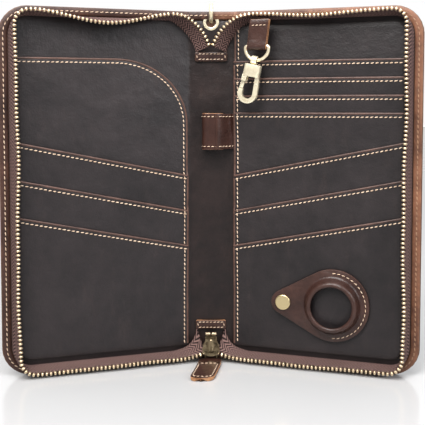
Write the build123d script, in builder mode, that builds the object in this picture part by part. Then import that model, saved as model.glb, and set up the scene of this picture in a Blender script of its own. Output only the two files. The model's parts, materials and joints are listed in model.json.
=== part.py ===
"""Zip-around travel document organizer, standing open like a book. Millimetres, +Z up, open towards -Y."""

import os
from math import atan2, cos, degrees, radians, sin, sqrt

from build123d import *

os.makedirs("parts", exist_ok=True)

# Whole organizer
cover_height = 220.0
cover_reach = 115.9  # from the fold's axis to a cover's free edge
corner_radius = 17.5
half_spine = 14.2  # from the middle to each fold's axis
open_angle = 18.4  # each cover is turned this far forward from lying flat

# Leather and boards, and where each layer of a cover starts above its outside
leather = 1.6
board_start, board = 1.7, 0.9
lining_start, lining = 2.7, 0.4
panel_start, panel = 3.3, 1.0
slot_start, slot_leather = 4.4, 0.8
panel_near = 1.7  # from the fold's axis to the panels' edge beside the spine
panel_edge = 9.5  # from the free edge to the panels
slot_edge = 10.0

# Zip
tape_start, tape = 1.7, 0.6
edge_strip_start, edge_strip = 2.4, 1.2
wall_top = 12.3  # height at which the tape meets the teeth
wall_foot = 6.0
wall_head_side, wall_head_ends = 9.0, 3.6
wall = 1.2
teeth_width, teeth_height = 2.8, 2.4
wall_near = 14.5  # where the straight walls start, from the fold's axis

# The origin is under the middle of the whole object, so the spine stands behind it
ring_mean, ring_wire, ring_offset = 5.3, 1.3, 1.0
spine_stack = 3.0
turn = radians(open_angle)
front_reach = (
    leather / 2
    + (cover_reach - wall_head_side + wall) * sin(turn)
    + (wall_top + teeth_height - leather / 2) * cos(turn)
)
ring_reach = ring_mean + ring_wire - spine_stack / 2
spine_back = (front_reach - ring_reach) / 2


def save(piece, name):
    """Labels a finished piece and writes it."""
    piece.part.label = name
    export_step(piece.part, f"parts/{name}.step")


def cover_plane(hand, depth=0.0):
    """Plane on a cover: x along it, y up, normal towards the inside, at a depth above its outside."""
    inward = Vector(-hand * sin(turn), -cos(turn), 0)
    along = Vector(cos(turn), -hand * sin(turn), 0)
    axis = Vector(hand * half_spine, spine_back - leather / 2, 0)
    return Plane(origin=axis + inward * (depth - leather / 2), x_dir=along, z_dir=inward)


def upright_plane(y):
    """Plane facing forward at a distance in front of the spine's back: x right, y up."""
    return Plane(origin=(0, spine_back - y, 0), x_dir=(1, 0, 0), z_dir=(0, -1, 0))


def cover_outline(hand, near, edge, ends, mode=Mode.ADD):
    """Draws a cover's outline from near the fold to the rounded corners, set in from its free edges."""
    far = hand * (cover_reach - edge)
    radius = corner_radius - edge
    inner = far - hand * radius
    bulge = radius * (1 - sqrt(0.5))
    low, high = ends, cover_height - ends
    with BuildLine() as outline:
        Polyline((inner, high), (hand * near, high), (hand * near, low), (inner, low))
        ThreePointArc((inner, low), (far - hand * bulge, low + bulge), (far, low + radius))
        Line((far, low + radius), (far, high - radius))
        ThreePointArc((far, high - radius), (far - hand * bulge, high - bulge), (inner, high))
    make_face(outline.edges(), mode=mode)


def cover_band(hand, near, edge, ends, width):
    """Draws a band of a given width round a cover's three free sides."""
    cover_outline(hand, near, edge, ends)
    cover_outline(hand, near - 1, edge + width, ends + width, mode=Mode.SUBTRACT)


# ---------------------------------------------------------------- covers, each side alike
for side, hand in (("left", -1), ("right", 1)):
    with BuildPart() as outer_leather:
        with BuildSketch(cover_plane(hand)):
            cover_outline(hand, leather / 2 + 0.15, 0, 0)
        extrude(amount=leather)
    save(outer_leather, f"{side}_outer_leather")

    with BuildPart() as stiffener_board:
        with BuildSketch(cover_plane(hand, board_start)):
            cover_outline(hand, 3.0, 9.0, 9.0)
        extrude(amount=board)
    save(stiffener_board, f"{side}_stiffener_board")

    with BuildPart() as lining_sheet:
        with BuildSketch(cover_plane(hand, lining_start)):
            cover_outline(hand, panel_near, 8.5, 8.5)
        extrude(amount=lining)
    save(lining_sheet, f"{side}_lining")

    with BuildPart() as zip_tape:
        with BuildSketch(cover_plane(hand, tape_start)):
            cover_band(hand, wall_near, 0.8, 0.8, wall_foot + wall - 0.8)
        extrude(amount=tape)
        with BuildSketch(cover_plane(hand, tape_start + tape)):
            cover_band(hand, wall_near, wall_foot, wall_foot, wall)
        with BuildSketch(cover_plane(hand, wall_top)):
            cover_band(hand, wall_near, wall_head_side, wall_head_ends, wall)
        loft(ruled=True)
    save(zip_tape, f"{side}_zip_tape")

    with BuildPart() as zip_teeth:
        with BuildSketch(cover_plane(hand, wall_top)):
            overhang = (teeth_width - wall) / 2
            cover_band(hand, wall_near, wall_head_side - overhang, wall_head_ends - overhang, teeth_width)
        extrude(amount=teeth_height)
    save(zip_teeth, f"{side}_zip_teeth")

    with BuildPart() as strip:
        with BuildSketch(cover_plane(hand, edge_strip_start)):
            cover_band(hand, panel_near, 0.3, 0.3, 5.3)
        extrude(amount=edge_strip)
    save(strip, f"{side}_edge_strip")

# ---------------------------------------------------------------- pockets
slot_rise = 11.8  # degrees that the slanted slots' edges rise away from the spine
slant_tops = (117.8, 95.6, 73.6)  # heights of the slanted edges at the spine
slant_length = 28.0
card_tops = (188.7, 178.1, 167.5, 156.9)
card_length = 16.6
slot_overlap = 6.0
slot_gap = 0.15


def slot_piece(name, hand, top, rise, length, pitch, tail=0.0, under=None):
    """Makes a slot's leather: it leans forward towards its open edge, and so laps over the piece above it.

    top is the edge's height at the spine, length is the leaning stretch, tail is a flat stretch below it, and
    under is the height at the spine of a slanted edge that the tail ends below.
    """
    base = cover_plane(hand, slot_start)
    angle = radians(rise)
    along = base.x_dir * cos(angle) + base.y_dir * (hand * sin(angle))
    up = base.y_dir * cos(angle) - base.x_dir * (hand * sin(angle))
    start = base.origin + base.x_dir * (hand * panel_near) + base.y_dir * top
    reach = 140.0
    # x points up the pocket, y to the inside, and the normal runs along the open edge
    across = Plane(origin=start - along * reach, x_dir=up, z_dir=along)
    lift = (slot_leather + slot_gap) * length / pitch
    steep = length * cos(angle)
    profile = [(0, lift + slot_leather), (0, lift), (-steep, 0)]
    if tail:
        profile += [(-steep - tail, 0), (-steep - tail, slot_leather)]
    profile.append((-steep, slot_leather))
    with BuildPart() as piece:
        with BuildSketch(across):
            with BuildLine():
                Polyline(*profile, close=True)
            make_face()
        extrude(amount=2 * reach)
        with BuildSketch(base):
            cover_outline(hand, panel_near, slot_edge, slot_edge)
        extrude(amount=20, both=True, mode=Mode.INTERSECT)
        if under is not None:
            below = under - slot_overlap
            slope = sin(radians(slot_rise)) / cos(radians(slot_rise))
            with BuildSketch(base):
                with BuildLine():
                    Polyline(
                        (0, below - panel_near * slope),
                        (hand * reach, below + (reach - panel_near) * slope),
                        (hand * reach, -10),
                        (0, -10),
                        close=True,
                    )
                make_face()
            extrude(amount=20, both=True, mode=Mode.SUBTRACT)
    save(piece, name)


for side, hand in (("left", -1), ("right", 1)):
    for place, top in zip(("top", "middle", "bottom"), slant_tops):
        tail = 90.0 if place == "bottom" else 0.0
        slot_piece(f"{side}_{place}_slot", hand, top, slot_rise, slant_length, 22.1, tail)

for number, top in enumerate(card_tops, 1):
    last = number == len(card_tops)
    slot_piece(
        f"right_card_slot_{number}", 1, top, 0.0, card_length, 10.6, 60.0 if last else 0.0,
        slant_tops[0] if last else None,
    )

# Left: the document pocket, its top corner beside the spine cut back in a quarter of an ellipse
pocket_top, pocket_spine_top, pocket_curve = 189.5, 149.5, 45.0
with BuildPart() as document_pocket:
    with BuildSketch(cover_plane(-1, panel_start)):
        cover_outline(-1, panel_near, panel_edge, panel_edge)
        with BuildLine():
            EllipticalCenterArc(
                (-panel_near - pocket_curve, pocket_spine_top),
                pocket_curve,
                pocket_top - pocket_spine_top,
                start_angle=0,
                arc_size=90,
            )
            Polyline(
                (-panel_near - pocket_curve, pocket_top),
                (-cover_reach, pocket_top),
                (-cover_reach, cover_height),
                (5, cover_height),
                (5, pocket_spine_top),
                (-panel_near, pocket_spine_top),
            )
        make_face(mode=Mode.SUBTRACT)
    extrude(amount=panel)
save(document_pocket, "left_document_pocket")

# Right: the full-height panel, open along the spine as the banknote pocket
with BuildPart() as inner_panel:
    with BuildSketch(cover_plane(1, panel_start)):
        cover_outline(1, panel_near, panel_edge, panel_edge)
    extrude(amount=panel)
save(inner_panel, "right_inner_panel")

# ---------------------------------------------------------------- spine
fold_radius = leather / 2
with BuildPart() as spine_leather:
    with BuildSketch(Plane.XY):
        with Locations((0, spine_back - fold_radius)):
            SlotCenterToCenter(2 * half_spine, leather)
    extrude(amount=cover_height)
    # a hole for the eyelet's barrel
    eyelet_height = 213.0
    eyelet_hole, eyelet_wall = 3.1, 0.4
    with BuildSketch(upright_plane(-1)):
        with Locations((0, eyelet_height)):
            Circle(eyelet_hole + eyelet_wall + 0.05)
    extrude(amount=10, mode=Mode.SUBTRACT)
save(spine_leather, "spine_outer_leather")

spine_lining_start, spine_lining = 1.7, 0.7
with BuildPart() as spine_inner:
    with BuildSketch(upright_plane(spine_lining_start)):
        with Locations((0, cover_height / 2)):
            Rectangle(20.6, cover_height - 1)
        with Locations((0, eyelet_height)):
            Circle(eyelet_hole + eyelet_wall + 0.05, mode=Mode.SUBTRACT)
    extrude(amount=spine_lining)
save(spine_inner, "spine_lining")

# Eyelet: a flanged barrel from the inside, closed over a washer outside
eyelet_flange = 4.9
with BuildPart() as eyelet_front:
    with BuildSketch(upright_plane(spine_lining_start + spine_lining + 0.05)):
        with Locations((0, eyelet_height)):
            Circle(eyelet_flange)
            Circle(eyelet_hole, mode=Mode.SUBTRACT)
    extrude(amount=0.6)
    with BuildSketch(upright_plane(-0.3)):
        with Locations((0, eyelet_height)):
            Circle(eyelet_hole + eyelet_wall)
            Circle(eyelet_hole, mode=Mode.SUBTRACT)
    extrude(amount=spine_lining_start + spine_lining + 0.4)
save(eyelet_front, "eyelet")

with BuildPart() as eyelet_back:
    with BuildSketch(upright_plane(-0.55)):
        with Locations((0, eyelet_height)):
            Circle(eyelet_flange - 0.3)
            Circle(eyelet_hole + eyelet_wall + 0.05, mode=Mode.SUBTRACT)
    extrude(amount=0.5)
save(eyelet_back, "eyelet_washer")

# Wrist ring: through the eyelet and over the spine's top edge, standing up
ring_height = 218.0 + ring_offset
with BuildPart() as ring:
    ring_middle = (0, spine_back - spine_stack / 2, ring_height)
    with BuildSketch(Plane(origin=ring_middle, x_dir=(0, 1, 0), z_dir=(0, 0, 1))):
        with Locations((ring_mean, 0)):
            Circle(ring_wire)
    revolve(axis=Axis(ring_middle, (1, 0, 0)), revolution_arc=360)
save(ring, "wrist_ring")

# Box-stitched tabs that hold the ends of the zip to the spine
for name, low, high, width in (("top_zip_tab", 189.0, 194.6, 19.8), ("bottom_zip_tab", 19.6, 25.2, 18.8)):
    with BuildPart() as tab:
        with BuildSketch(upright_plane(2.5)):
            with Locations((0, (low + high) / 2)):
                RectangleRounded(width, high - low, 0.8)
        extrude(amount=1.8)
    save(tab, name)

# Pen loop: a flattened leather tube standing in front of the spine
pen_low, pen_high = 134.0, 156.5
pen_middle, pen_width, pen_depth, pen_leather = 1.0, 13.4, 8.6, 1.2
with BuildPart() as loop:
    with BuildSketch(Plane.XY.offset(pen_low)):
        with Locations((pen_middle, spine_back - 2.5 - pen_depth / 2)):
            SlotOverall(pen_width, pen_depth)
            SlotOverall(pen_width - 2 * pen_leather, pen_depth - 2 * pen_leather, mode=Mode.SUBTRACT)
    extrude(amount=pen_high - pen_low)
save(loop, "pen_loop")

# ---------------------------------------------------------------- ends of the zip
chain_depth = 11.0  # of the chain's middle in front of the spine's back
apex_height = 196.4


def cover_point(hand, along, up, depth):
    """A point on a cover, from its place along it, its height and its depth above the outside."""
    return cover_plane(hand).from_local_coords((hand * along, up, depth))


for side, hand in (("left", -1), ("right", 1)):
    for end, start_height, wall_height in (
        ("top", apex_height, cover_height - wall_head_ends - wall / 2),
        ("bottom", 6.6, wall_head_ends + wall / 2 + 0.6),
    ):
        first = Vector(hand * (1.9 if end == "top" else 6.6), spine_back - chain_depth, start_height)
        last = cover_point(hand, wall_near - 1.6, wall_height, wall_top + teeth_height / 2)
        run = last - first
        with BuildPart() as corner:
            with BuildSketch(Plane(origin=first, z_dir=run)):
                Circle(1.2)
            extrude(amount=run.length)
        save(corner, f"{side}_{end}_zip_corner")

# Two end stops on the closed end of the chain, above the slider
with BuildPart() as stops:
    with BuildSketch(upright_plane(chain_depth - 1.2)):
        with Locations((-1.9, 18.4), (1.9, 18.4)):
            RectangleRounded(3.2, 1.7, 0.6)
    extrude(amount=2.4)
save(stops, "zip_end_stops")

# ---------------------------------------------------------------- slider and puller
slider_low, slider_high = 4.8, 16.6
plate, channel = 1.1, 2.9
plate_gap = channel / 2


def slider_outline():
    """Draws the slider's shield: narrow where the closed chain leaves it, widest at its shoulders."""
    with BuildLine() as outline:
        Polyline((-3.6, slider_high - 0.6), (-3.6, 13.6), (-5.7, 9.2), (-4.6, 6.6))
        ThreePointArc((-4.6, 6.6), (0, slider_low), (4.6, 6.6))
        Polyline((4.6, 6.6), (5.7, 9.2), (3.6, 13.6), (3.6, slider_high - 0.6))
        ThreePointArc((3.6, slider_high - 0.6), (0, slider_high), (-3.6, slider_high - 0.6))
    make_face(outline.edges())


bail_height, bail_out, bar_out = 10.5, 3.1, 1.6
with BuildPart() as slider:
    for start in (chain_depth - plate_gap - plate, chain_depth + plate_gap):
        with BuildSketch(upright_plane(start)):
            slider_outline()
        extrude(amount=plate)
    # the wedge that parts the two rows of teeth
    with BuildSketch(upright_plane(chain_depth - plate_gap)):
        with BuildLine():
            Polyline((0, 10.6), (-1.7, 6.8), (0, 5.6), (1.7, 6.8), close=True)
        make_face()
    extrude(amount=channel)
    # a ridge down the inner plate
    with BuildSketch(upright_plane(chain_depth + plate_gap + plate)):
        with Locations((0, 11.2)):
            SlotOverall(7.0, 0.9, rotation=90)
    extrude(amount=0.35)
save(slider, "slider_body")

# Bail: a small bridge on the slider's outer plate, over the pull ring's upper bar
bail_face = spine_back - (chain_depth - plate_gap - plate)
bar_radius = 0.7
bar_y = bail_face + bar_out
with BuildPart() as bail:
    with BuildSketch(Plane.YZ.offset(-1.5)):
        with Locations((bail_face + bail_out / 2, bail_height)):
            Rectangle(bail_out, 6.4)
        with Locations((bar_y, bail_height)):
            Circle(bar_radius + 0.06, mode=Mode.SUBTRACT)
    extrude(amount=3.0)
save(bail, "slider_bail")

# Pull ring: a wire frame from the bail down behind the slider to the leather puller
ring_bottom = 1.45
ring_half = 3.4
with BuildPart() as pull_frame:
    for height in (bail_height, ring_bottom):
        with BuildSketch(Plane.YZ.offset(-ring_half)):
            with Locations((bar_y, height)):
                Circle(bar_radius)
        extrude(amount=2 * ring_half)
    for x in (-ring_half, ring_half):
        with BuildSketch(Plane.XY.offset(ring_bottom)):
            with Locations((x, bar_y)):
                Circle(bar_radius)
        extrude(amount=bail_height - ring_bottom)
        for height in (bail_height, ring_bottom):
            with Locations((x, bar_y, height)):
                Sphere(bar_radius)
save(pull_frame, "pull_ring")

# Leather puller: folded round the ring's lower bar and lying forward on the table
puller_thick, puller_wide, puller_long = 2.6, 14.0, 40.5
puller_neck = 5.2
with BuildPart() as puller:
    with BuildSketch(Plane.XY.offset(0.05)):
        with BuildLine():
            tip = bar_y - puller_long
            half = puller_wide / 2
            Polyline((-half, tip + 5), (-half + 0.2, bar_y - 16), (-puller_neck / 2, bar_y - 4))
            Polyline((-puller_neck / 2, bar_y - 4), (-puller_neck / 2, bar_y), (puller_neck / 2, bar_y))
            Polyline((puller_neck / 2, bar_y), (puller_neck / 2, bar_y - 4), (half - 0.2, bar_y - 16))
            Line((half - 0.2, bar_y - 16), (half, tip + 5))
            ThreePointArc((half, tip + 5), (0, tip), (-half, tip + 5))
        make_face()
    extrude(amount=puller_thick)
    with BuildSketch(Plane.YZ.offset(-puller_neck / 2)):
        with Locations((bar_y, ring_bottom)):
            Circle(1.4)
    extrude(amount=puller_neck)
    with BuildSketch(Plane.YZ.offset(-puller_neck)):
        with Locations((bar_y, ring_bottom)):
            Circle(bar_radius + 0.06)
    extrude(amount=2 * puller_neck, mode=Mode.SUBTRACT)
save(puller, "leather_puller")

# ---------------------------------------------------------------- key strap, D-ring and swivel hook
strap_depth = 13.9  # the hanging hardware's middle above the cover's outside
strap_middle = panel_near + 17.0
strap_width, strap_top = 11.8, 212.4
bar_height = 197.2
dee_wire = 1.0
strap_thick = 1.3
hang = cover_plane(1, strap_depth)
strap_corner = hang.from_local_coords((strap_middle - strap_width / 2, 0, 0))
strap_side = Plane(origin=strap_corner, x_dir=hang.z_dir * -1, z_dir=hang.x_dir)
with BuildPart() as strap:
    with BuildSketch(strap_side):
        fold = dee_wire + 0.08 + strap_thick
        with Locations((0, bar_height)):
            Circle(fold)
        with Locations((0, (bar_height + strap_top) / 2)):
            Rectangle(2 * strap_thick + 0.2, strap_top - bar_height)
        with Locations((0, bar_height)):
            Circle(dee_wire + 0.08, mode=Mode.SUBTRACT)
    extrude(amount=strap_width)
save(strap, "key_strap")

dee_radius, dee_corner = 7.25, 1.3
dee_plane = Plane(
    origin=hang.from_local_coords((strap_middle, bar_height, 0)), x_dir=hang.x_dir, z_dir=hang.z_dir
)
corner_in = dee_corner * sqrt(0.5)
with BuildPart() as dee:
    with BuildLine(dee_plane) as dee_path:
        flat = dee_radius - dee_corner
        Line((-flat, 0), (flat, 0))
        ThreePointArc((flat, 0), (flat + corner_in, -dee_corner + corner_in), (dee_radius, -dee_corner))
        ThreePointArc((dee_radius, -dee_corner), (0, -dee_corner - dee_radius), (-dee_radius, -dee_corner))
        ThreePointArc((-dee_radius, -dee_corner), (-flat - corner_in, -dee_corner + corner_in), (-flat, 0))
    with BuildSketch(Plane(origin=dee_plane.origin, z_dir=dee_plane.x_dir)):
        Circle(dee_wire)
    sweep(path=dee_path.wires()[0])
save(dee, "key_strap_ring")

# The hook leans towards the spine; its own plane has y up along the swivel's axis
lean = 12.0
arc_centre = bar_height - dee_corner
eye_x = strap_middle - dee_radius * sin(radians(lean))
eye_z = arc_centre - dee_radius * cos(radians(lean))
hook_x = hang.x_dir * cos(radians(lean)) - hang.y_dir * sin(radians(lean))
hook_plane = Plane(origin=hang.from_local_coords((eye_x, eye_z, 0)), x_dir=hook_x, z_dir=hang.z_dir)
hook_up = hook_plane.y_dir
hook_side = Plane(origin=hook_plane.origin, x_dir=hook_plane.z_dir * -1, z_dir=hook_plane.x_dir)


def hook_cross(height):
    """Plane across the swivel's axis at a height above the eye's middle, its normal pointing up the axis."""
    return Plane(origin=hook_plane.origin + hook_up * height, x_dir=hook_plane.x_dir, z_dir=hook_up)


eye_inner, eye_outer, eye_width = 1.55, 2.6, 3.4
stem_radius, head_radius, stem_top = 1.0, 1.8, -2.1
block_top, block_bottom, block_floor = -2.75, -10.2, -5.0
with BuildPart() as eye:
    with BuildSketch(hook_side.offset(-eye_width / 2)):
        Circle(eye_outer)
        Circle(eye_inner, mode=Mode.SUBTRACT)
    extrude(amount=eye_width)
    with BuildSketch(hook_cross(block_floor - 0.9)):
        Circle(stem_radius)
    extrude(amount=stem_top - block_floor + 0.9)
    with BuildSketch(hook_cross(block_floor - 0.9)):
        Circle(head_radius)
    extrude(amount=0.8)
save(eye, "swivel_eye")

block_width, block_depth = 10.4, 6.0
hook_wire = 2.8
hook_depth = 3.0
hook_bottom = -26.6
hook_half = 6.1
nose_top = -18.2
with BuildPart() as hook:
    with BuildSketch(hook_cross(block_bottom)):
        RectangleRounded(block_width, block_depth, 2.0)
    extrude(amount=block_top - block_bottom)
    with BuildSketch(hook_plane.offset(-hook_depth / 2)):
        with BuildLine():
            # outside of the J, from the right of the block round the bottom to its nose on the left
            bend = hook_bottom + hook_half
            Polyline((block_width / 2 - 0.2, block_bottom + 1), (hook_half - 0.2, -15), (hook_half, bend))
            ThreePointArc((hook_half, bend), (0, hook_bottom), (-hook_half, bend))
            inner = hook_half - hook_wire
            Polyline(
                (-hook_half, bend),
                (-hook_half + 0.2, nose_top),
                (-inner, nose_top),
                (-inner, bend),
            )
            ThreePointArc((-inner, bend), (0, hook_bottom + hook_wire), (inner, bend))
            Polyline((inner, bend), (inner - 0.2, -15), (block_width / 2 - 2.4, block_bottom + 1))
            Line((block_width / 2 - 2.4, block_bottom + 1), (block_width / 2 - 0.2, block_bottom + 1))
        make_face()
    extrude(amount=hook_depth)
    # a lug on the left that carries the gate's pin, slotted for the gate
    with BuildSketch(hook_plane.offset(-block_depth / 2 + 0.4)):
        with BuildLine():
            Polyline(
                (-block_width / 2 + 0.3, block_bottom + 1),
                (-block_width / 2 - 0.1, -13.4),
                (-block_width / 2 + 2.9, -13.4),
                (-block_width / 2 + 3.3, block_bottom + 1),
                close=True,
            )
        make_face()
    extrude(amount=block_depth - 0.8)
    with BuildSketch(hook_plane.offset(-1.2)):
        with Locations((-block_width / 2 + 0.6, -11.0)):
            Rectangle(6.4, 6.0)
    extrude(amount=2.4, mode=Mode.SUBTRACT)
    # bore for the stem, opening into a wider one for its head
    with BuildSketch(hook_cross(block_floor)):
        Circle(stem_radius + 0.06)
    extrude(amount=10, mode=Mode.SUBTRACT)
    with BuildSketch(hook_cross(block_floor)):
        Circle(head_radius + 0.3)
    extrude(amount=-(block_floor - block_bottom + 3), mode=Mode.SUBTRACT)
    # holes for the gate's pin
    pin_x, pin_y, pin_radius = -block_width / 2 + 1.5, -11.8, 0.6
    with BuildSketch(hook_plane.offset(-block_depth)):
        with Locations((pin_x, pin_y)):
            Circle(pin_radius)
    extrude(amount=2 * block_depth, mode=Mode.SUBTRACT)
save(hook, "snap_hook")

with BuildPart() as gate_pin:
    with BuildSketch(hook_plane.offset(-block_depth / 2 + 0.4)):
        with Locations((pin_x, pin_y)):
            Circle(pin_radius)
    extrude(amount=block_depth - 0.8)
save(gate_pin, "hook_gate_pin")

# Gate: from its pin down to the hook's nose
with BuildPart() as gate:
    with BuildSketch(hook_plane.offset(-1.0)):
        with BuildLine():
            Polyline(
                (pin_x - 1.1, pin_y + 1.0),
                (pin_x + 1.1, pin_y + 1.0),
                (-hook_half + hook_wire - 0.3, nose_top + 0.35),
                (-hook_half + 0.3, nose_top + 0.35),
                close=True,
            )
        make_face()
        with Locations((pin_x, pin_y)):
            Circle(pin_radius + 0.06, mode=Mode.SUBTRACT)
    extrude(amount=2.0)
save(gate, "hook_gate")

# Leaf spring in the lug's slot, above the gate
with BuildPart() as spring:
    with BuildSketch(hook_plane.offset(-0.9)):
        with Locations((pin_x + 0.8, -9.4)):
            Rectangle(3.0, 0.3)
    extrude(amount=1.8)
save(spring, "hook_gate_spring")

# ---------------------------------------------------------------- round tracker holder
holder_x, holder_z = panel_near + 63.0, 40.2
snap_x = panel_near + 32.3
holder_radius, holder_hole = 22.0, 12.4
tab_radius = 7.3
holder_start = slot_start + slot_leather + 0.25
base_leather, shell_leather, shell_height = 1.0, 1.2, 8.0
tab_hinge = holder_x - 17.5


def keyhole(radius, tail_radius, mode=Mode.ADD):
    """Draws the holder's keyhole: a disc with a tapering tab ending in a smaller half-circle."""
    reach = holder_x - snap_x
    spread = degrees(atan2(radius - tail_radius, reach))
    up = radians(90 + spread)
    with BuildLine() as outline:
        for sign in (1, -1):
            Line(
                (holder_x + radius * cos(up), holder_z + sign * radius * sin(up)),
                (snap_x + tail_radius * cos(up), holder_z + sign * tail_radius * sin(up)),
            )
        ThreePointArc(
            (holder_x + radius * cos(up), holder_z + radius * sin(up)),
            (holder_x + radius, holder_z),
            (holder_x + radius * cos(up), holder_z - radius * sin(up)),
        )
        ThreePointArc(
            (snap_x + tail_radius * cos(up), holder_z + tail_radius * sin(up)),
            (snap_x - tail_radius, holder_z),
            (snap_x + tail_radius * cos(up), holder_z - tail_radius * sin(up)),
        )
    make_face(outline.edges(), mode=mode)


with BuildPart() as holder_base:
    with BuildSketch(cover_plane(1, holder_start)):
        keyhole(holder_radius, tab_radius)
        with Locations((snap_x, holder_z)):
            Circle(1.25, mode=Mode.SUBTRACT)
    extrude(amount=base_leather)
save(holder_base, "tracker_holder_back")

# Front: a flat rim sewn to the back, moulded up into a cup with a round window
cup_radius = 16.7
front_start = holder_start + base_leather + 0.05
with BuildPart() as holder_front:
    with BuildSketch(cover_plane(1, front_start)):
        keyhole(holder_radius, tab_radius)
        with Locations((tab_hinge - 50, holder_z)):
            Rectangle(100, 60, mode=Mode.SUBTRACT)
    extrude(amount=shell_leather)
    with BuildSketch(cover_plane(1, front_start)):
        with Locations((holder_x, holder_z)):
            Circle(cup_radius)
    extrude(amount=shell_height, taper=12)
    with BuildSketch(cover_plane(1, front_start)):
        with Locations((holder_x, holder_z)):
            Circle(cup_radius - shell_leather)
    extrude(amount=shell_height - shell_leather, taper=12, mode=Mode.SUBTRACT)
    with BuildSketch(cover_plane(1, front_start)):
        with Locations((holder_x, holder_z)):
            Circle(holder_hole)
    extrude(amount=shell_height + 2, mode=Mode.SUBTRACT)
save(holder_front, "tracker_holder_front")

# The tab is the end of the front leather, which bends at the cup's edge when the snap is opened
with BuildPart() as holder_tab:
    with BuildSketch(cover_plane(1, front_start)):
        keyhole(holder_radius, tab_radius)
        with Locations((tab_hinge - 0.3 + 50, holder_z)):
            Rectangle(100, 60, mode=Mode.SUBTRACT)
        with Locations((snap_x, holder_z)):
            Circle(1.25, mode=Mode.SUBTRACT)
    extrude(amount=shell_leather)
save(holder_tab, "tracker_holder_tab")

# Snap: a domed cap and socket on the tab, a stud and its rivet on the back
cap_radius = 4.75
cap_start = front_start + shell_leather + 0.05
with BuildPart() as snap_cap:
    with BuildSketch(cover_plane(1, cap_start)):
        with Locations((snap_x, holder_z)):
            Circle(cap_radius)
    extrude(amount=0.9)
    fillet(snap_cap.faces().sort_by(Axis(cover_plane(1).origin, cover_plane(1).z_dir))[-1].edges(), 0.7)
    with BuildSketch(cover_plane(1, front_start)):
        with Locations((snap_x, holder_z)):
            Circle(1.2)
            Circle(0.85, mode=Mode.SUBTRACT)
    extrude(amount=shell_leather + 0.1)
save(snap_cap, "snap_cap")

with BuildPart() as snap_stud:
    with BuildSketch(cover_plane(1, front_start - base_leather)):
        with Locations((snap_x, holder_z)):
            Circle(1.2)
            Circle(0.95, mode=Mode.SUBTRACT)
    extrude(amount=base_leather - 0.1)
save(snap_stud, "snap_stud")
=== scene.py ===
"""Looks of a zip-around travel document organizer that stands open like a book, built round its CAD frame.

Pieces are modelled in millimetres. Those of leather are cut flat, in the pattern of the opened-out cover:
x runs from the middle of the spine towards a cover's free edge, y is the height and z the depth above the
outside. The form then folds them round the spine and puts them in the frame's metres.
"""

import json
import logging
import math
from dataclasses import dataclass, field
from enum import Enum
from typing import Iterable, Sequence

import bpy
import numpy as np
from mathutils import Matrix, Vector


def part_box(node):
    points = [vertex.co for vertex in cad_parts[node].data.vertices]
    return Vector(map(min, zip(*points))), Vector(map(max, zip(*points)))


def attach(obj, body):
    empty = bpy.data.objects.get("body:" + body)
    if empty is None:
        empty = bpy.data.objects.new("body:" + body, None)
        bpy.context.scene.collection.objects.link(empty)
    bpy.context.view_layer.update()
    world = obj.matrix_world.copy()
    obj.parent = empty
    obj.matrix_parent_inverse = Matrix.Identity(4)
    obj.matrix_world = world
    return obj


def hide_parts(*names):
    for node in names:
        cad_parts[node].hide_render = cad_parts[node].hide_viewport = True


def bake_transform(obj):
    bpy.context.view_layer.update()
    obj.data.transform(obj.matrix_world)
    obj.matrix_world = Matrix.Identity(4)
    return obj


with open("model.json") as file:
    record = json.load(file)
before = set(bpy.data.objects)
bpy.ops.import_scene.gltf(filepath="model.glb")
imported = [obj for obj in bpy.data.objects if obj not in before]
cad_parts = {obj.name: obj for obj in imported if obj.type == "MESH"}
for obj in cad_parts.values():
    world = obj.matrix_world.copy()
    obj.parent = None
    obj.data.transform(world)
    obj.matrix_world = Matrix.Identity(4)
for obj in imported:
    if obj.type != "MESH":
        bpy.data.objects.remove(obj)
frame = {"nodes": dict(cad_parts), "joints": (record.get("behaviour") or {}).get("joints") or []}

MM = 0.001
Point2 = tuple[float, float]
Point3 = tuple[float, float, float]
Colour = tuple[float, float, float]
Cut = tuple[Point2, Point2]
Piece = bpy.types.Object
logger = logging.getLogger("organizer")


class Side(Enum):
    """The two covers, seen from inside the open organizer."""

    LEFT = -1
    RIGHT = 1

    @property
    def label(self) -> str:
        """The side's name in piece names."""
        return self.name.lower()

    @property
    def hand(self) -> int:
        """-1 on the left and 1 on the right."""
        return self.value

    @property
    def body(self) -> str:
        """The CAD body of this side's cover."""
        return f"{self.label}_cover"


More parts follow.
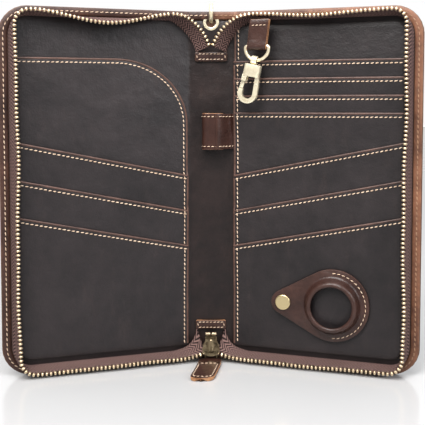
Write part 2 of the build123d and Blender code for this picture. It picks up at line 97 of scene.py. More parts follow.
# ------------------------------------------------------------------------------------------- finishes
class NodeBoard:
    """Wires the nodes of one finish."""

    def __init__(self, name: str) -> None:
        """Starts a material of that name with a single shader."""
        self.material = bpy.data.materials.new(name)
        self.material.use_nodes = True
        self.tree = self.material.node_tree
        self.shader = self.tree.nodes["Principled BSDF"]
        self.places = self.tree.nodes.new("ShaderNodeTexCoord")

    def node(self, kind: str, inputs: dict | None = None, **settings: object) -> bpy.types.Node:
        """Adds a node.

        Args:
            kind: the node's Blender type, without its leading "ShaderNode".
            inputs: values or output sockets for the node's inputs, by name or number.
            settings: the node's own properties.

        Returns:
            The new node.
        """
        made = self.tree.nodes.new("ShaderNode" + kind)
        for key, value in settings.items():
            setattr(made, key, value)
        for key, value in (inputs or {}).items():
            if isinstance(value, bpy.types.NodeSocket):
                self.tree.links.new(value, made.inputs[key])
            else:
                made.inputs[key].default_value = value
        return made

    def set(self, **values: object) -> None:
        """Sets the shader's own sockets; an underscore in a name stands for a space."""
        for key, value in values.items():
            self.shader.inputs[key.replace("_", " ")].default_value = value

    def drive(self, socket: str, output: bpy.types.NodeSocket) -> None:
        """Links an output to one of the shader's sockets."""
        self.tree.links.new(output, self.shader.inputs[socket])

    def stretched(self, scale: Point3, place: str = "Object") -> bpy.types.NodeSocket:
        """Coordinates stretched by a factor along each axis."""
        return self.node("Mapping", {"Vector": self.places.outputs[place], "Scale": scale}).outputs[0]

    def noise(self, size: float, detail: float = 4, rough: float = 0.55, vector=None) -> bpy.types.NodeSocket:
        """Noise whose features are about size millimetres across."""
        place = vector or self.places.outputs["Object"]
        inputs = {"Vector": place, "Scale": 1 / (size * MM), "Detail": detail, "Roughness": rough}
        return self.node("TexNoise", inputs).outputs["Fac"]

    def ramp(
        self, fac: bpy.types.NodeSocket, stops: Sequence[tuple[float, Colour | float]]
    ) -> bpy.types.NodeSocket:
        """A colour ramp over a value, from its stops."""
        made = self.node("ValToRGB", {"Fac": fac})
        elements = made.color_ramp.elements
        while len(elements) < len(stops):
            elements.new(0.5)
        for element, (position, colour) in zip(elements, stops):
            rgb = colour if isinstance(colour, tuple) else (colour,) * 3
            element.position = position
            element.color = (*rgb, 1)
        return made.outputs["Color"]

    def mix(self, fac, first, second, blend: str = "MIX") -> bpy.types.NodeSocket:
        """Mixes two colours."""
        made = self.node("Mix", data_type="RGBA", blend_type=blend)
        for slot, value in ((0, fac), (6, first), (7, second)):
            if isinstance(value, bpy.types.NodeSocket):
                self.tree.links.new(value, made.inputs[slot])
            else:
                made.inputs[slot].default_value = (*value, 1) if isinstance(value, tuple) else value
        return made.outputs[2]

    def spread(self, value: bpy.types.NodeSocket, low: float, high: float) -> bpy.types.NodeSocket:
        """Maps a value of 0 to 1 onto a range."""
        return self.node("MapRange", {"Value": value, "To Min": low, "To Max": high}).outputs["Result"]

    def bump(self, height: bpy.types.NodeSocket, depth: float, before=None) -> bpy.types.NodeSocket:
        """A bump of that depth in millimetres, on top of an earlier one."""
        inputs = {"Height": height, "Distance": depth * MM, "Strength": 1.0}
        if before is not None:
            inputs["Normal"] = before
        return self.node("Bump", inputs).outputs["Normal"]


@dataclass(frozen=True)
class Leather:
    """Waxed leather with mottling, pull-up marks, fine grain and lighter worn edges."""

    name: str
    dark: Colour
    light: Colour
    worn: Colour
    slot: str
    gloss: float = 0.42
    patch: float = 26.0
    scuff: float = 0.25
    wear: float = 0.5

    def material(self) -> bpy.types.Material:
        """Makes or finds this finish's material."""
        found = bpy.data.materials.get(self.name)
        if found:
            return found
        board = NodeBoard(self.name)
        patches = board.noise(self.patch, 5, 0.6)
        cloudy = board.noise(self.patch / 5, 4, 0.6)
        both = board.mix(0.35, patches, cloudy)
        body = board.ramp(both, [(0.36, self.dark), (0.66, self.light)])
        streaks = board.noise(7.0, 6, 0.7, board.stretched((1.0, 1.0, 0.35)))
        marks = board.ramp(streaks, [(0.56, 0.0), (0.78, self.scuff)])
        scuffed = board.mix(marks, body, self.worn)
        pores = board.noise(0.5, 2, 0.5)
        speckled = board.mix(board.ramp(pores, [(0.30, 0.35), (0.48, 0.0)]), scuffed, self.dark)
        edges = board.node("NewGeometry").outputs["Pointiness"]
        rubbed = board.ramp(edges, [(0.515, 0.0), (0.60, self.wear)])
        board.drive("Base Color", board.mix(rubbed, speckled, self.worn))
        board.drive("Roughness", board.spread(both, self.gloss - 0.10, self.gloss + 0.16))
        cells = board.node("TexVoronoi", {"Vector": board.places.outputs["Object"], "Scale": 1 / (1.1 * MM)})
        waves = board.bump(board.noise(9.0, 4, 0.55), 0.55)
        grain = board.bump(cells.outputs["Distance"], 0.05, waves)
        board.drive("Normal", board.bump(board.noise(0.35, 3, 0.6), 0.03, grain))
        board.set(Specular_IOR_Level=0.34)
        return board.material


@dataclass(frozen=True)
class Metal:
    """Plated cast metal, with patches of patina and bright edges."""

    name: str
    bright: Colour
    aged: Colour
    slot: str
    gloss: float = 0.28
    metallic: float = 1.0

    def material(self) -> bpy.types.Material:
        """Makes or finds this finish's material."""
        found = bpy.data.materials.get(self.name)
        if found:
            return found
        board = NodeBoard(self.name)
        clouds = board.noise(2.2, 5, 0.6)
        plated = board.ramp(clouds, [(0.34, self.aged), (0.58, self.bright)])
        edges = board.ramp(board.node("NewGeometry").outputs["Pointiness"], [(0.50, 0.0), (0.56, 1.0)])
        board.drive("Base Color", board.mix(edges, plated, self.bright))
        board.drive("Roughness", board.spread(clouds, self.gloss + 0.14, self.gloss - 0.06))
        board.drive("Normal", board.bump(board.noise(0.45, 3, 0.5), 0.018))
        board.set(Metallic=self.metallic)
        return board.material


@dataclass(frozen=True)
class ZipCloth:
    """Woven zip tape: a herringbone that follows the tape's own length and width."""

    name: str
    dark: Colour
    light: Colour
    slot: str = "zip_cloth"
    rib: float = 3.0
    thread: float = 1.0

    def material(self) -> bpy.types.Material:
        """Makes or finds this finish's material."""
        found = bpy.data.materials.get(self.name)
        if found:
            return found
        board = NodeBoard(self.name)
        parts = board.node("SeparateXYZ", {"Vector": board.places.outputs["UV"]})
        along, across = parts.outputs[0], parts.outputs[1]
        fold = board.node("Math", {0: across, 1: self.rib}, operation="PINGPONG").outputs[0]
        slanted = board.node("Math", {0: along, 1: fold}, operation="ADD").outputs[0]
        threads = board.node("Math", {0: slanted, 1: self.thread}, operation="PINGPONG").outputs[0]
        twill = board.node("MapRange", {"Value": threads, "From Max": self.thread}).outputs["Result"]
        specks = board.noise(0.55, 3, 0.7)
        weave = board.mix(0.35, twill, specks)
        board.drive("Base Color", board.ramp(weave, [(0.30, self.dark), (0.72, self.light)]))
        board.drive("Normal", board.bump(twill, 0.10, board.bump(specks, 0.06)))
        board.set(Roughness=0.9, Specular_IOR_Level=0.15)
        return board.material


@dataclass(frozen=True)
class Thread:
    """Waxed polyester sewing thread, with painted shade in the grooves of its twist."""

    name: str
    colour: Colour
    shade: Colour
    slot: str = "accent_leather"

    def material(self) -> bpy.types.Material:
        """Makes or finds this finish's material."""
        found = bpy.data.materials.get(self.name)
        if found:
            return found
        board = NodeBoard(self.name)
        twist = board.node(
            "TexWave", {"Scale": 1 / (0.9 * MM), "Distortion": 1.5}, bands_direction="DIAGONAL"
        )
        dirt = board.noise(5.0, 3)
        tone = board.mix(board.ramp(dirt, [(0.35, 0.6), (0.65, 0.0)]), self.colour, self.shade)
        # painted shade: the twist's grooves darken the thread towards its shade colour
        board.drive("Base Color", board.mix(board.spread(twist.outputs["Fac"], 0.0, 0.4), tone, self.shade))
        board.drive("Normal", board.bump(twist.outputs["Fac"], 0.05))
        board.set(Roughness=0.7, Sheen_Weight=0.2)
        return board.material


class Finish(Enum):
    """The finishes of this organizer."""

    COVER = Leather(
        "cover_hide", (0.028, 0.012, 0.007), (0.100, 0.044, 0.023), (0.23, 0.105, 0.052),
        "cover_leather", scuff=0.4,
    )
    RIM_LEFT = Leather(
        "rim_hide_left", (0.015, 0.006, 0.0045), (0.056, 0.023, 0.015), (0.20, 0.085, 0.045), "edge_leather",
        gloss=0.46, patch=30, scuff=0.45, wear=0.25,
    )
    RIM_RIGHT = Leather(
        "rim_hide_right", (0.060, 0.023, 0.013), (0.220, 0.094, 0.050), (0.38, 0.19, 0.10), "edge_leather",
        gloss=0.46, patch=30, scuff=0.45, wear=0.25,
    )
    POCKET = Leather(
        "pocket_hide", (0.0085, 0.0066, 0.0072), (0.0200, 0.0150, 0.0158), (0.055, 0.036, 0.032),
        "pocket_leather",
        gloss=0.43, patch=40, scuff=0.22, wear=0.15,
    )
    TURNED = Leather(
        "turned_edge_hide", (0.034, 0.016, 0.012), (0.100, 0.052, 0.039), (0.17, 0.09, 0.06),
        "accent_leather",
        gloss=0.45, patch=16, wear=0.3,
    )
    SPINE = Leather(
        "spine_hide", (0.0055, 0.0031, 0.0030), (0.0155, 0.0082, 0.0073), (0.06, 0.031, 0.025),
        "spine_leather",
        gloss=0.36, patch=30, wear=0.2,
    )
    GLOSSY = Leather(
        "glossy_hide", (0.018, 0.0073, 0.0055), (0.048, 0.0195, 0.0140), (0.16, 0.07, 0.042),
        "accent_leather",
        gloss=0.27, patch=34, scuff=0.12, wear=0.15,
    )
    HOLDER = Leather(
        "holder_hide", (0.017, 0.0075, 0.0060), (0.050, 0.022, 0.017), (0.12, 0.055, 0.036), "accent_leather",
        gloss=0.33, patch=18, wear=0.15,
    )
    RAW = Leather(
        "raw_edge_hide", (0.26, 0.105, 0.040), (0.52, 0.25, 0.115), (0.60, 0.34, 0.18), "accent_leather",
        gloss=0.6, patch=5,
    )
    TAPE = ZipCloth("zip_tape_cloth", (0.008, 0.0045, 0.0045), (0.185, 0.112, 0.100))
    TEETH = Metal("zip_teeth_brass", (0.66, 0.53, 0.36), (0.10, 0.066, 0.040), "zip_brass", 0.30)
    BRASS = Metal("antique_brass", (0.30, 0.235, 0.145), (0.060, 0.044, 0.028), "hardware_brass", 0.30)
    GOLD = Metal("pale_gold", (0.86, 0.78, 0.58), (0.56, 0.46, 0.30), "hardware_brass", 0.20, 0.65)
    SNAP = Metal("snap_brass", (0.52, 0.39, 0.20), (0.22, 0.145, 0.065), "snap_brass", 0.22)
    STEEL = Metal("spring_steel", (0.55, 0.55, 0.55), (0.20, 0.20, 0.21), "spring_steel", 0.30)
    CREAM = Thread("cream_thread", (0.78, 0.60, 0.44), (0.45, 0.28, 0.17))
    TAN = Thread("tan_thread", (0.40, 0.23, 0.12), (0.16, 0.085, 0.045))

    def dress(self, piece: Piece, slot: bool = True) -> None:
        """Gives a piece this finish as its only one."""
        piece.data.materials.clear()
        piece.data.materials.append(self.value.material())

    def trim_rim(self, piece: Piece) -> None:
        """Adds this finish as a piece's second one."""
        piece.data.materials.append(self.value.material())


# ------------------------------------------------------------------------------------------- the bench
def only(piece: Piece) -> None:
    """Selects one piece and nothing else."""
    bpy.ops.object.select_all(action="DESELECT")
    piece.select_set(True)
    bpy.context.view_layer.objects.active = piece


def read(piece: Piece) -> np.ndarray:
    """A piece's vertices, as rows."""
    flat = np.empty(len(piece.data.vertices) * 3)
    piece.data.vertices.foreach_get("co", flat)
    return flat.reshape(-1, 3)


def write(piece: Piece, points: np.ndarray) -> None:
    """Puts a piece's vertices at these rows."""
    piece.data.vertices.foreach_set("co", np.asarray(points, float).ravel())
    piece.data.update()


def apply(piece: Piece, kind: str, **settings: object) -> None:
    """Adds a modifier to a piece and applies it at once."""
    only(piece)
    modifier = piece.modifiers.new(kind.lower(), kind)
    for key, value in settings.items():
        setattr(modifier, key, value)
    bpy.ops.object.modifier_apply(modifier=modifier.name)


def thicken(piece: Piece, thickness: float, edge: float = 0.25, rim: Finish | None = None) -> None:
    """Gives a sheet its thickness, behind its face, with rounded edges.

    Args:
        piece: the sheet, whose faces look forward.
        thickness: the leather's thickness.
        edge: how far its edges are rounded.
        rim: the finish of the cut edge, where it differs.
    """
    if rim:
        rim.trim_rim(piece)
    apply(
        piece, "SOLIDIFY", thickness=thickness, offset=-1, use_even_offset=True,
        material_offset_rim=int(bool(rim)),
    )
    if edge:
        apply(piece, "BEVEL", width=edge, segments=2, limit_method="ANGLE", angle_limit=math.radians(50))


def smooth(piece: Piece, degrees: float = 42) -> None:
    """Shades a piece smooth, apart from edges sharper than that."""
    only(piece)
    bpy.ops.object.shade_smooth_by_angle(angle=math.radians(degrees))


def flat_sheet(name: str, low: Point2, high: Point2, step: float = 5.0) -> Piece:
    """Cuts a rectangle of leather with an even grid of cuts across it.

    Args:
        name: the piece's name.
        low: its lowest corner.
        high: its highest corner.
        step: the distance between cuts.

    Returns:
        The sheet, lying flat at depth 0.
    """
    bpy.ops.object.select_all(action="DESELECT")
    width, height = high[0] - low[0], high[1] - low[1]
    bpy.ops.mesh.primitive_grid_add(
        x_subdivisions=max(2, round(width / step)),
        y_subdivisions=max(2, round(height / step)),
        size=1,
        location=((low[0] + high[0]) / 2, (low[1] + high[1]) / 2, 0),
    )
    sheet = bpy.context.object
    sheet.name = name
    sheet.scale = (width, height, 1)
    bpy.ops.object.transform_apply(location=True, rotation=True, scale=True)
    return sheet


def trim(piece: Piece, cuts: Iterable[Cut]) -> None:
    """Cuts away what lies beyond each line.

    Args:
        piece: a sheet, still flat.
        cuts: for each line a point on it and its normal, which points to the waste.
    """
    only(piece)
    bpy.ops.object.mode_set(mode="EDIT")
    for point, normal in cuts:
        bpy.ops.mesh.select_all(action="SELECT")
        bpy.ops.mesh.bisect(plane_co=(*point, 0), plane_no=(*normal, 0), clear_outer=True)
    bpy.ops.object.mode_set(mode="OBJECT")


def rounded(centre: Point2, radii: Point2, first: float, last: float, steps: int = 6) -> list[Cut]:
    """Cuts that round a corner.

    Args:
        centre: the middle of the corner's arc.
        radii: the arc's half-width and half-height.
        first: the angle where it starts, in degrees.
        last: the angle where it ends.
        steps: the number of cuts.

    Returns:
        The cuts, for trim.
    """
    made = []
    for number in range(steps):
        angle = math.radians(first + (last - first) * (number + 0.5) / steps)
        point = (centre[0] + radii[0] * math.cos(angle), centre[1] + radii[1] * math.sin(angle))
        made.append((point, (math.cos(angle) / radii[0], math.sin(angle) / radii[1])))
    return made


def from_cad(node: str, name: str, edge: float = 0.0, segments: int = 2) -> Piece:
    """Copies a CAD solid as a clean mesh in millimetres, with its edges rounded.

    Args:
        node: the CAD node.
        name: the new piece's name.
        edge: how far its edges are rounded, or 0 to leave them.
        segments: the number of faces across a rounded edge.

    Returns:
        The copy, which still has to be put in the frame.
    """
    source = frame["nodes"][node]
    copy = source.copy()
    copy.data = source.data.copy()
    for key in list(copy.keys()):
        del copy[key]
    copy.name = name
    copy.parent = None
    copy.matrix_world = Matrix.Identity(4)
    bpy.context.scene.collection.objects.link(copy)
    write(copy, read(copy) / MM)
    only(copy)
    bpy.ops.object.mode_set(mode="EDIT")
    bpy.ops.mesh.select_all(action="SELECT")
    bpy.ops.mesh.remove_doubles(threshold=0.002)
    bpy.ops.mesh.dissolve_limited(angle_limit=math.radians(0.8))
    bpy.ops.object.mode_set(mode="OBJECT")
    if "custom_normal" in copy.data.attributes:
        copy.data.attributes.remove(copy.data.attributes["custom_normal"])
    if edge:
        apply(
            copy, "BEVEL", width=edge, segments=segments, limit_method="ANGLE",
            angle_limit=math.radians(35),
        )
    return copy


def join(pieces: Sequence[Piece], name: str) -> Piece:
    """Joins pieces of one finish into one."""
    only(pieces[0])
    for piece in pieces[1:]:
        piece.select_set(True)
    if len(pieces) > 1:
        bpy.ops.object.join()
    bpy.context.object.name = name
    return bpy.context.object


# ------------------------------------------------------------------------------------------- lines to follow
@dataclass
class Line:
    """A line that strips, teeth and stitches are laid along, with the direction that is up at each point."""

    points: np.ndarray
    ups: np.ndarray

    @classmethod
    def flat(cls, points: Sequence[Sequence[float]], up: Point3 = (0, 0, 1)) -> "Line":
        """A line with one up direction."""
        rows = np.asarray(points, float)
        return cls(rows, np.tile(np.asarray(up, float), (len(rows), 1)))

    @classmethod
    def straight(cls, start: Point3, end: Point3, step: float = 3.0, up: Point3 = (0, 0, 1)) -> "Line":
        """A straight line with enough points to follow a fold."""
        first, last = np.asarray(start, float), np.asarray(end, float)
        count = max(2, round(float(np.linalg.norm(last - first)) / step))
        return cls.flat([first + (last - first) * i / count for i in range(count + 1)], up)

    @property
    def stations(self) -> np.ndarray:
        """The distance along the line of each point."""
        steps = np.linalg.norm(np.diff(self.points, axis=0), axis=1)
        return np.concatenate([[0.0], np.cumsum(steps)])

    @property
    def length(self) -> float:
        """The line's length."""
        return float(self.stations[-1])

    def lift(self, amounts: np.ndarray | float) -> "Line":
        """This line moved along its up direction."""
        return Line(self.points + self.ups * np.reshape(amounts, (-1, 1)), self.ups)

    def lay(self, piece: Piece, start: float = 0.0) -> None:
        """Bends a piece along the line: its x follows the line, y goes sideways and z goes up.

        Args:
            piece: the piece, modelled along the x axis.
            start: how far along the line the piece's x of 0 comes.
        """
        stations = self.stations
        along = np.gradient(self.points, stations, axis=0)
        rows = read(piece)
        where = rows[:, 0] + start
        inside = np.clip(where, 0, stations[-1])

        def at(values: np.ndarray) -> np.ndarray:
            """Values between the line's points."""
            return np.stack([np.interp(inside, stations, values[:, k]) for k in range(3)], axis=1)

        ahead = at(along)
        ahead /= np.linalg.norm(ahead, axis=1, keepdims=True)
        up = at(self.ups)
        up -= ahead * np.sum(up * ahead, axis=1, keepdims=True)
        up /= np.linalg.norm(up, axis=1, keepdims=True)
        beside = np.cross(up, ahead)
        place = at(self.points) + ahead * (where - inside)[:, None]
        write(piece, place + beside * rows[:, 1:2] + up * rows[:, 2:3])


def strip(
    name: str, line: Line, width: float, thickness: float, crown: float = 0.3, step: float = 2.4
) -> Piece:
    """Lays a strip of leather along a line, its face crowned and its edges rounded.

    Args:
        name: the piece's name.
        line: the middle of the strip's face.
        width: the strip's width.
        thickness: its thickness, behind the face.
        crown: how much its middle stands above its edges.
        step: the distance between its cuts.

    Returns:
        The strip.
    """
    columns = max(2, round(line.length / step))
    bpy.ops.mesh.primitive_grid_add(x_subdivisions=columns, y_subdivisions=6, size=1)
    piece = bpy.context.object
    piece.name = name
    rows = read(piece)
    rows[:, 0] = (rows[:, 0] + 0.5) * line.length
    rows[:, 2] = -crown * (2 * rows[:, 1]) ** 2
    rows[:, 1] *= width
    write(piece, rows)
    line.lay(piece)
    thicken(piece, thickness, min(0.3, thickness * 0.3))
    return piece


def stitches(
    name: str, lines: Iterable[Line], pitch: float = 2.75, dash: float = 2.1, size: float = 0.78
) -> Piece:
    """Sews rows of stitches: one stitch is modelled and repeated along each line.

    Args:
        name: the piece's name.
        lines: the rows, on the leather's face.
        pitch: the distance from stitch to stitch.
        dash: the length of a stitch that shows.
        size: the thread's thickness.

    Returns:
        All the stitches as one piece.
    """
    rows = []
    for line in lines:
        bpy.ops.object.select_all(action="DESELECT")
        bpy.ops.mesh.primitive_ico_sphere_add(subdivisions=1, radius=1)
        stitch = bpy.context.object
        turn = math.radians(9)
        shape = read(stitch) * (dash / 2 * 1.08, size / 2, size / 2)
        turned = shape.copy()
        turned[:, 1] += shape[:, 0] * math.sin(turn)
        count = max(1, int((line.length - dash) / pitch) + 1)
        turned[:, 0] += (line.length - (count - 1) * pitch) / 2
        write(stitch, turned)
        apply(
            stitch, "ARRAY", count=count, use_relative_offset=False, use_constant_offset=True,
            constant_offset_displace=(pitch, 0, 0),
        )
        line.lay(stitch)
        rows.append(stitch)
    made = join(rows, name)
    smooth(made, 80)
    return made


def flip(piece: Piece) -> None:
    """Turns all of a piece's faces over."""
    only(piece)
    bpy.ops.object.mode_set(mode="EDIT")
    bpy.ops.mesh.select_all(action="SELECT")
    bpy.ops.mesh.flip_normals()
    bpy.ops.object.mode_set(mode="OBJECT")


def loft(name: str, rows: Sequence[np.ndarray], face_out: int = 1) -> Piece:
    """Makes a cloth surface between rows of points, with its weave's coordinates in millimetres.

    Args:
        name: the piece's name.
        rows: lines of equally many points, from one long edge of the cloth to the other.
        face_out: 1 or -1, to turn the faces over.

    Returns:
        The cloth.
    """
    count, columns = len(rows), len(rows[0])
    vertices = np.concatenate(rows)
    faces = []
    for r in range(count - 1):
        for c in range(columns - 1):
            a = r * columns + c
            quad = (a, a + 1, a + columns + 1, a + columns)
            faces.append(quad if face_out > 0 else quad[::-1])
    mesh = bpy.data.meshes.new(name)
    mesh.from_pydata([tuple(v) for v in vertices], [], faces)
    across = np.concatenate(
        [[0.0], np.cumsum([np.linalg.norm(rows[i + 1] - rows[i], axis=1).mean() for i in range(count - 1)])]
    )
    along = np.concatenate([[0.0], np.cumsum(np.linalg.norm(np.diff(rows[0], axis=0), axis=1))])
    layer = mesh.uv_layers.new(name="weave")
    for loop in mesh.loops:
        r, c = divmod(loop.vertex_index, columns)
        layer.data[loop.index].uv = (along[c], across[r])
    piece = bpy.data.objects.new(name, mesh)
    bpy.context.scene.collection.objects.link(piece)
    return piece


# ------------------------------------------------------------------------------------------- the form
@dataclass(frozen=True)
class Form:
    """The opened-out cover's main sizes in millimetres, read from the frame, and the way it folds."""

    back: float
    half_spine: float
    turn: float
    reach: float
    height: float
    leather: float = 1.6
    crease: float = 1.6
    corner: float = 17.5
    panel_near: float = 1.7

    @classmethod
    def measured(cls) -> "Form":
        """Reads the sizes from the CAD frame."""
        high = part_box("spine_outer_leather")[1] / MM
        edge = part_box("right_outer_leather")[1] / MM
        fold = next(j for j in frame["joints"] if j["name"] == "right_cover_fold")
        turn = math.radians(-fold["range_deg"][0])
        half_leather = cls.leather / 2
        half = high.x - half_leather
        reach = (edge.x - half - half_leather * math.sin(turn)) / math.cos(turn)
        return cls(back=high.y, half_spine=half, turn=turn, reach=reach, height=high.z)

    @property
    def free_edge(self) -> float:
        """Distance from the spine's middle to a cover's free edge, flat."""
        return self.half_spine + self.reach

    @property
    def panel_edge(self) -> float:
        """Distance from the spine's middle to the pockets' edges beside the spine, flat."""
        return self.half_spine + self.panel_near

    def fold(self, rows: np.ndarray) -> np.ndarray:
        """Folds points of the flat pattern into the frame, still in millimetres."""
        table = np.linspace(0, self.free_edge + 20, 6001)
        share = np.clip((table - self.half_spine + self.crease) / (2 * self.crease), 0, 1)
        angles = self.turn * share * share * (3 - 2 * share)
        step = table[1] - table[0]
        across = np.concatenate([[0.0], np.cumsum((np.cos(angles[1:]) + np.cos(angles[:-1])) / 2 * step)])
        forward = np.concatenate([[0.0], np.cumsum((np.sin(angles[1:]) + np.sin(angles[:-1])) / 2 * step)])
        hand = np.where(rows[:, 0] < 0, -1.0, 1.0)
        far = np.abs(rows[:, 0])
        angle = np.interp(far, table, angles)
        depth = rows[:, 2] - self.leather / 2
        x = hand * (np.interp(far, table, across) - np.sin(angle) * depth)
        y = self.back - self.leather / 2 - np.interp(far, table, forward) - np.cos(angle) * depth
        return np.stack([x, y, rows[:, 1]], axis=1)

    def put(self, piece: Piece, body: str) -> Piece:
        """Folds a flat piece into the frame, and lets it ride on a body."""
        write(piece, self.fold(read(piece)) * MM)
        return self.ride(piece, body)

    def put_world(self, piece: Piece, body: str) -> Piece:
        """Puts a piece that is already in its place, in millimetres, in the frame's metres."""
        write(piece, read(piece) * MM)
        return self.ride(piece, body)

    @staticmethod
    def ride(piece: Piece, body: str) -> Piece:
        """Shades a finished piece and lets it ride on a body."""
        smooth(piece)
        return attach(piece, body)

    def bend(self, piece: Piece, side: Side) -> Piece:
        """Folds a flat piece that crosses the fold into the frame and shades it smooth."""
        write(piece, self.fold(read(piece)) * MM)
        return self.blend(piece, side, self.crease)

    def blend(self, piece: Piece, side: Side, spread: float) -> Piece:
        """Shades a piece that is already in the frame smooth and bakes its transform."""
        smooth(piece)
        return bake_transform(piece)

    def outline(self, side: Side, near: float, edge: float, ends: float, depth: float) -> np.ndarray:
        """A line round a cover's three free sides, from the bottom by the fold to the top by the fold.

        Args:
            side: the cover.
            near: the distance from the spine's middle where the line starts and ends.
            edge: its distance inside the free edge.
            ends: its distance inside the top and bottom.
            depth: its depth above the outside.

        Returns:
            The points in the flat pattern: always the same number along each stretch.
        """
        far = self.free_edge - edge
        radius = self.corner - edge
        low, high = ends, self.height - ends
        bottom = [(x, low) for x in np.linspace(near, far - radius, 45)]
        corner = [
            (far - radius + radius * math.sin(a), low + radius - radius * math.cos(a))
            for a in np.linspace(0, math.pi / 2, 13)
        ]
        riser = [(far, y) for y in np.linspace(low + radius, high - radius, 71)]
        flat = np.array(bottom + corner[1:] + riser[1:])
        top = flat[: 45 + 12][::-1] * (1, -1) + (0, self.height)
        flat = np.concatenate([flat, top[1:]])
        return np.column_stack([flat[:, 0] * side.hand, flat[:, 1], np.full(len(flat), depth)])

    def corner_cuts(self, side: Side, edge: float, ends: float) -> list[Cut]:
        """Cuts that round a cover piece's two free corners."""
        radius = self.corner - edge
        x = side.hand * (self.free_edge - edge - radius)
        start = 0 if side is Side.RIGHT else 180
        return rounded((x, ends + radius), (radius, radius), start, start - side.hand * 90, 7) + rounded(
            (x, self.height - ends - radius), (radius, radius), start, start + side.hand * 90, 7
        )

    def half_sheet(self, name: str, side: Side, edge: float, ends: float, step: float) -> Piece:
        """Cuts half of the opened-out cover, a little past the spine's middle, with rounded free corners."""
        far, past = self.free_edge - edge, 3.0
        xs = sorted((side.hand * far, -side.hand * past))
        sheet = flat_sheet(name, (xs[0], ends), (xs[1], self.height - ends), step)
        fold = self.half_spine
        only(sheet)
        bpy.ops.object.mode_set(mode="EDIT")
        for offset in np.linspace(-self.crease, self.crease, 7):
            bpy.ops.mesh.select_all(action="SELECT")
            bpy.ops.mesh.bisect(plane_co=(side.hand * (fold + offset), 0, 0), plane_no=(1, 0, 0))
        bpy.ops.object.mode_set(mode="OBJECT")
        trim(sheet, self.corner_cuts(side, edge, ends))
        return sheet

    @staticmethod
    def open_middle(piece: Piece, side: Side) -> None:
        """Cuts a half piece off at the spine's middle, where it meets the other half."""
        trim(piece, [((0.0, 0.0), (-float(side.hand), 0.0))])


# ------------------------------------------------------------------------------------------- covers
@dataclass
class CoverShell:
    """One half of the outer leather with its sewn rim and its lining."""

    form: Form
    side: Side
    rim_width: float = 4.9
    rim_middle: float = 2.7
    rim_face: float = 3.65
    lining_inset: float = 6.0
    spine_lining_face: float = 2.4
    cover_lining_face: float = 3.1
    hole_radius: float = 3.55
    eyelet_height: float = 213.0

    def pierce(self, piece: Piece) -> None:
        """Cuts the eyelet's hole through a half piece, still flat."""
        bpy.ops.object.select_all(action="DESELECT")
        bpy.ops.mesh.primitive_cylinder_add(
            vertices=40, radius=self.hole_radius, depth=12, location=(0, self.eyelet_height, 1)
        )
        punch = bpy.context.object
        apply(piece, "BOOLEAN", object=punch, operation="DIFFERENCE", solver="EXACT")
        bpy.data.objects.remove(punch)

    def build_outside(self) -> None:
        """Cuts and folds the outer leather, and sews its seam on the outside."""
        form, side = self.form, self.side
        hide = form.half_sheet(f"{side.label}_cover_hide", side, 0, 0, 4.0)
        rows = read(hide)
        rows[:, 2] = form.leather
        write(hide, rows)
        Finish.COVER.dress(hide)
        thicken(hide, form.leather, 0.5)
        form.open_middle(hide, side)
        form.bend(hide, side)
        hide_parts(f"{side.label}_outer_leather", "spine_outer_leather")
        seam = Line.flat(form.outline(side, 0.3, self.rim_middle, self.rim_middle, -0.1))
        sewn = stitches(f"{side.label}_outside_seam", [seam], 3.0, 2.2)
        Finish.TAN.dress(sewn)
        form.bend(sewn, side)

    def build_rim(self) -> None:
        """Lays the sewn edge strip round the cover and over the spine's ends."""
        form, side = self.form, self.side
        finish = Finish.RIM_LEFT if side is Side.LEFT else Finish.RIM_RIGHT
        path = form.outline(side, 0.0, self.rim_middle, self.rim_middle, self.rim_face)
        reach = np.array([[-side.hand * 3.0, 0, 0]])
        path = np.concatenate([path[:1] + reach, path, path[-1:] + reach])
        rim = strip(f"{side.label}_rim", Line.flat(path), self.rim_width, 2.0, 0.45)
        finish.dress(rim)
        form.open_middle(rim, side)
        form.bend(rim, side)
        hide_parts(f"{side.label}_edge_strip")
        seam = Line.flat(form.outline(side, 1.0, self.rim_middle, self.rim_middle, self.rim_face + 0.08))
        sewn = stitches(f"{side.label}_rim_stitches", [seam], 3.0, 2.2, 0.66)
        thread = Finish.CREAM if side is Side.LEFT else Finish.TAN
        thread.dress(sewn)
        form.bend(sewn, side)

    def build_lining(self) -> None:
        """Lays the dark leather lining over the cover's inside and across the spine."""
        form, side = self.form, self.side
        lining = form.half_sheet(
            f"{side.label}_inside_lining", side, self.lining_inset, self.lining_inset, 5.0
        )
        rows = read(lining)
        share = np.clip((np.abs(rows[:, 0]) - 10.0) / 6.0, 0, 1)
        rise = self.cover_lining_face - self.spine_lining_face
        rows[:, 2] = self.spine_lining_face + rise * share * share * (3 - 2 * share)
        write(lining, rows)
        Finish.SPINE.dress(lining)
        Finish.POCKET.trim_rim(lining)
        for face in lining.data.polygons:
            face.material_index = int(abs(face.center.x) > form.half_spine + 0.5)
        thicken(lining, 0.5, 0.1)
        self.pierce(lining)
        form.open_middle(lining, side)
        form.bend(lining, side)
        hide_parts(f"{side.label}_lining", "spine_lining")

    def build(self) -> None:
        """Builds this half of the cover."""
        self.build_outside()
        self.build_rim()
        self.build_lining()
        logger.info("%s cover shell: hide, rim and lining", self.side.label)


# ------------------------------------------------------------------------------------------- pockets
@dataclass(frozen=True)
class Slot:
    """One open-topped pocket leather that leans forward towards its edge."""

    side: Side
    name: str
    top: float
    rise: float
    length: float
    pitch: float
    foot: float

    def edge_height(self, x: np.ndarray | float, near: float) -> np.ndarray | float:
        """The height of the slot's edge at a distance from the spine's middle."""
        return self.top + (np.abs(x) - near) * math.tan(math.radians(self.rise))


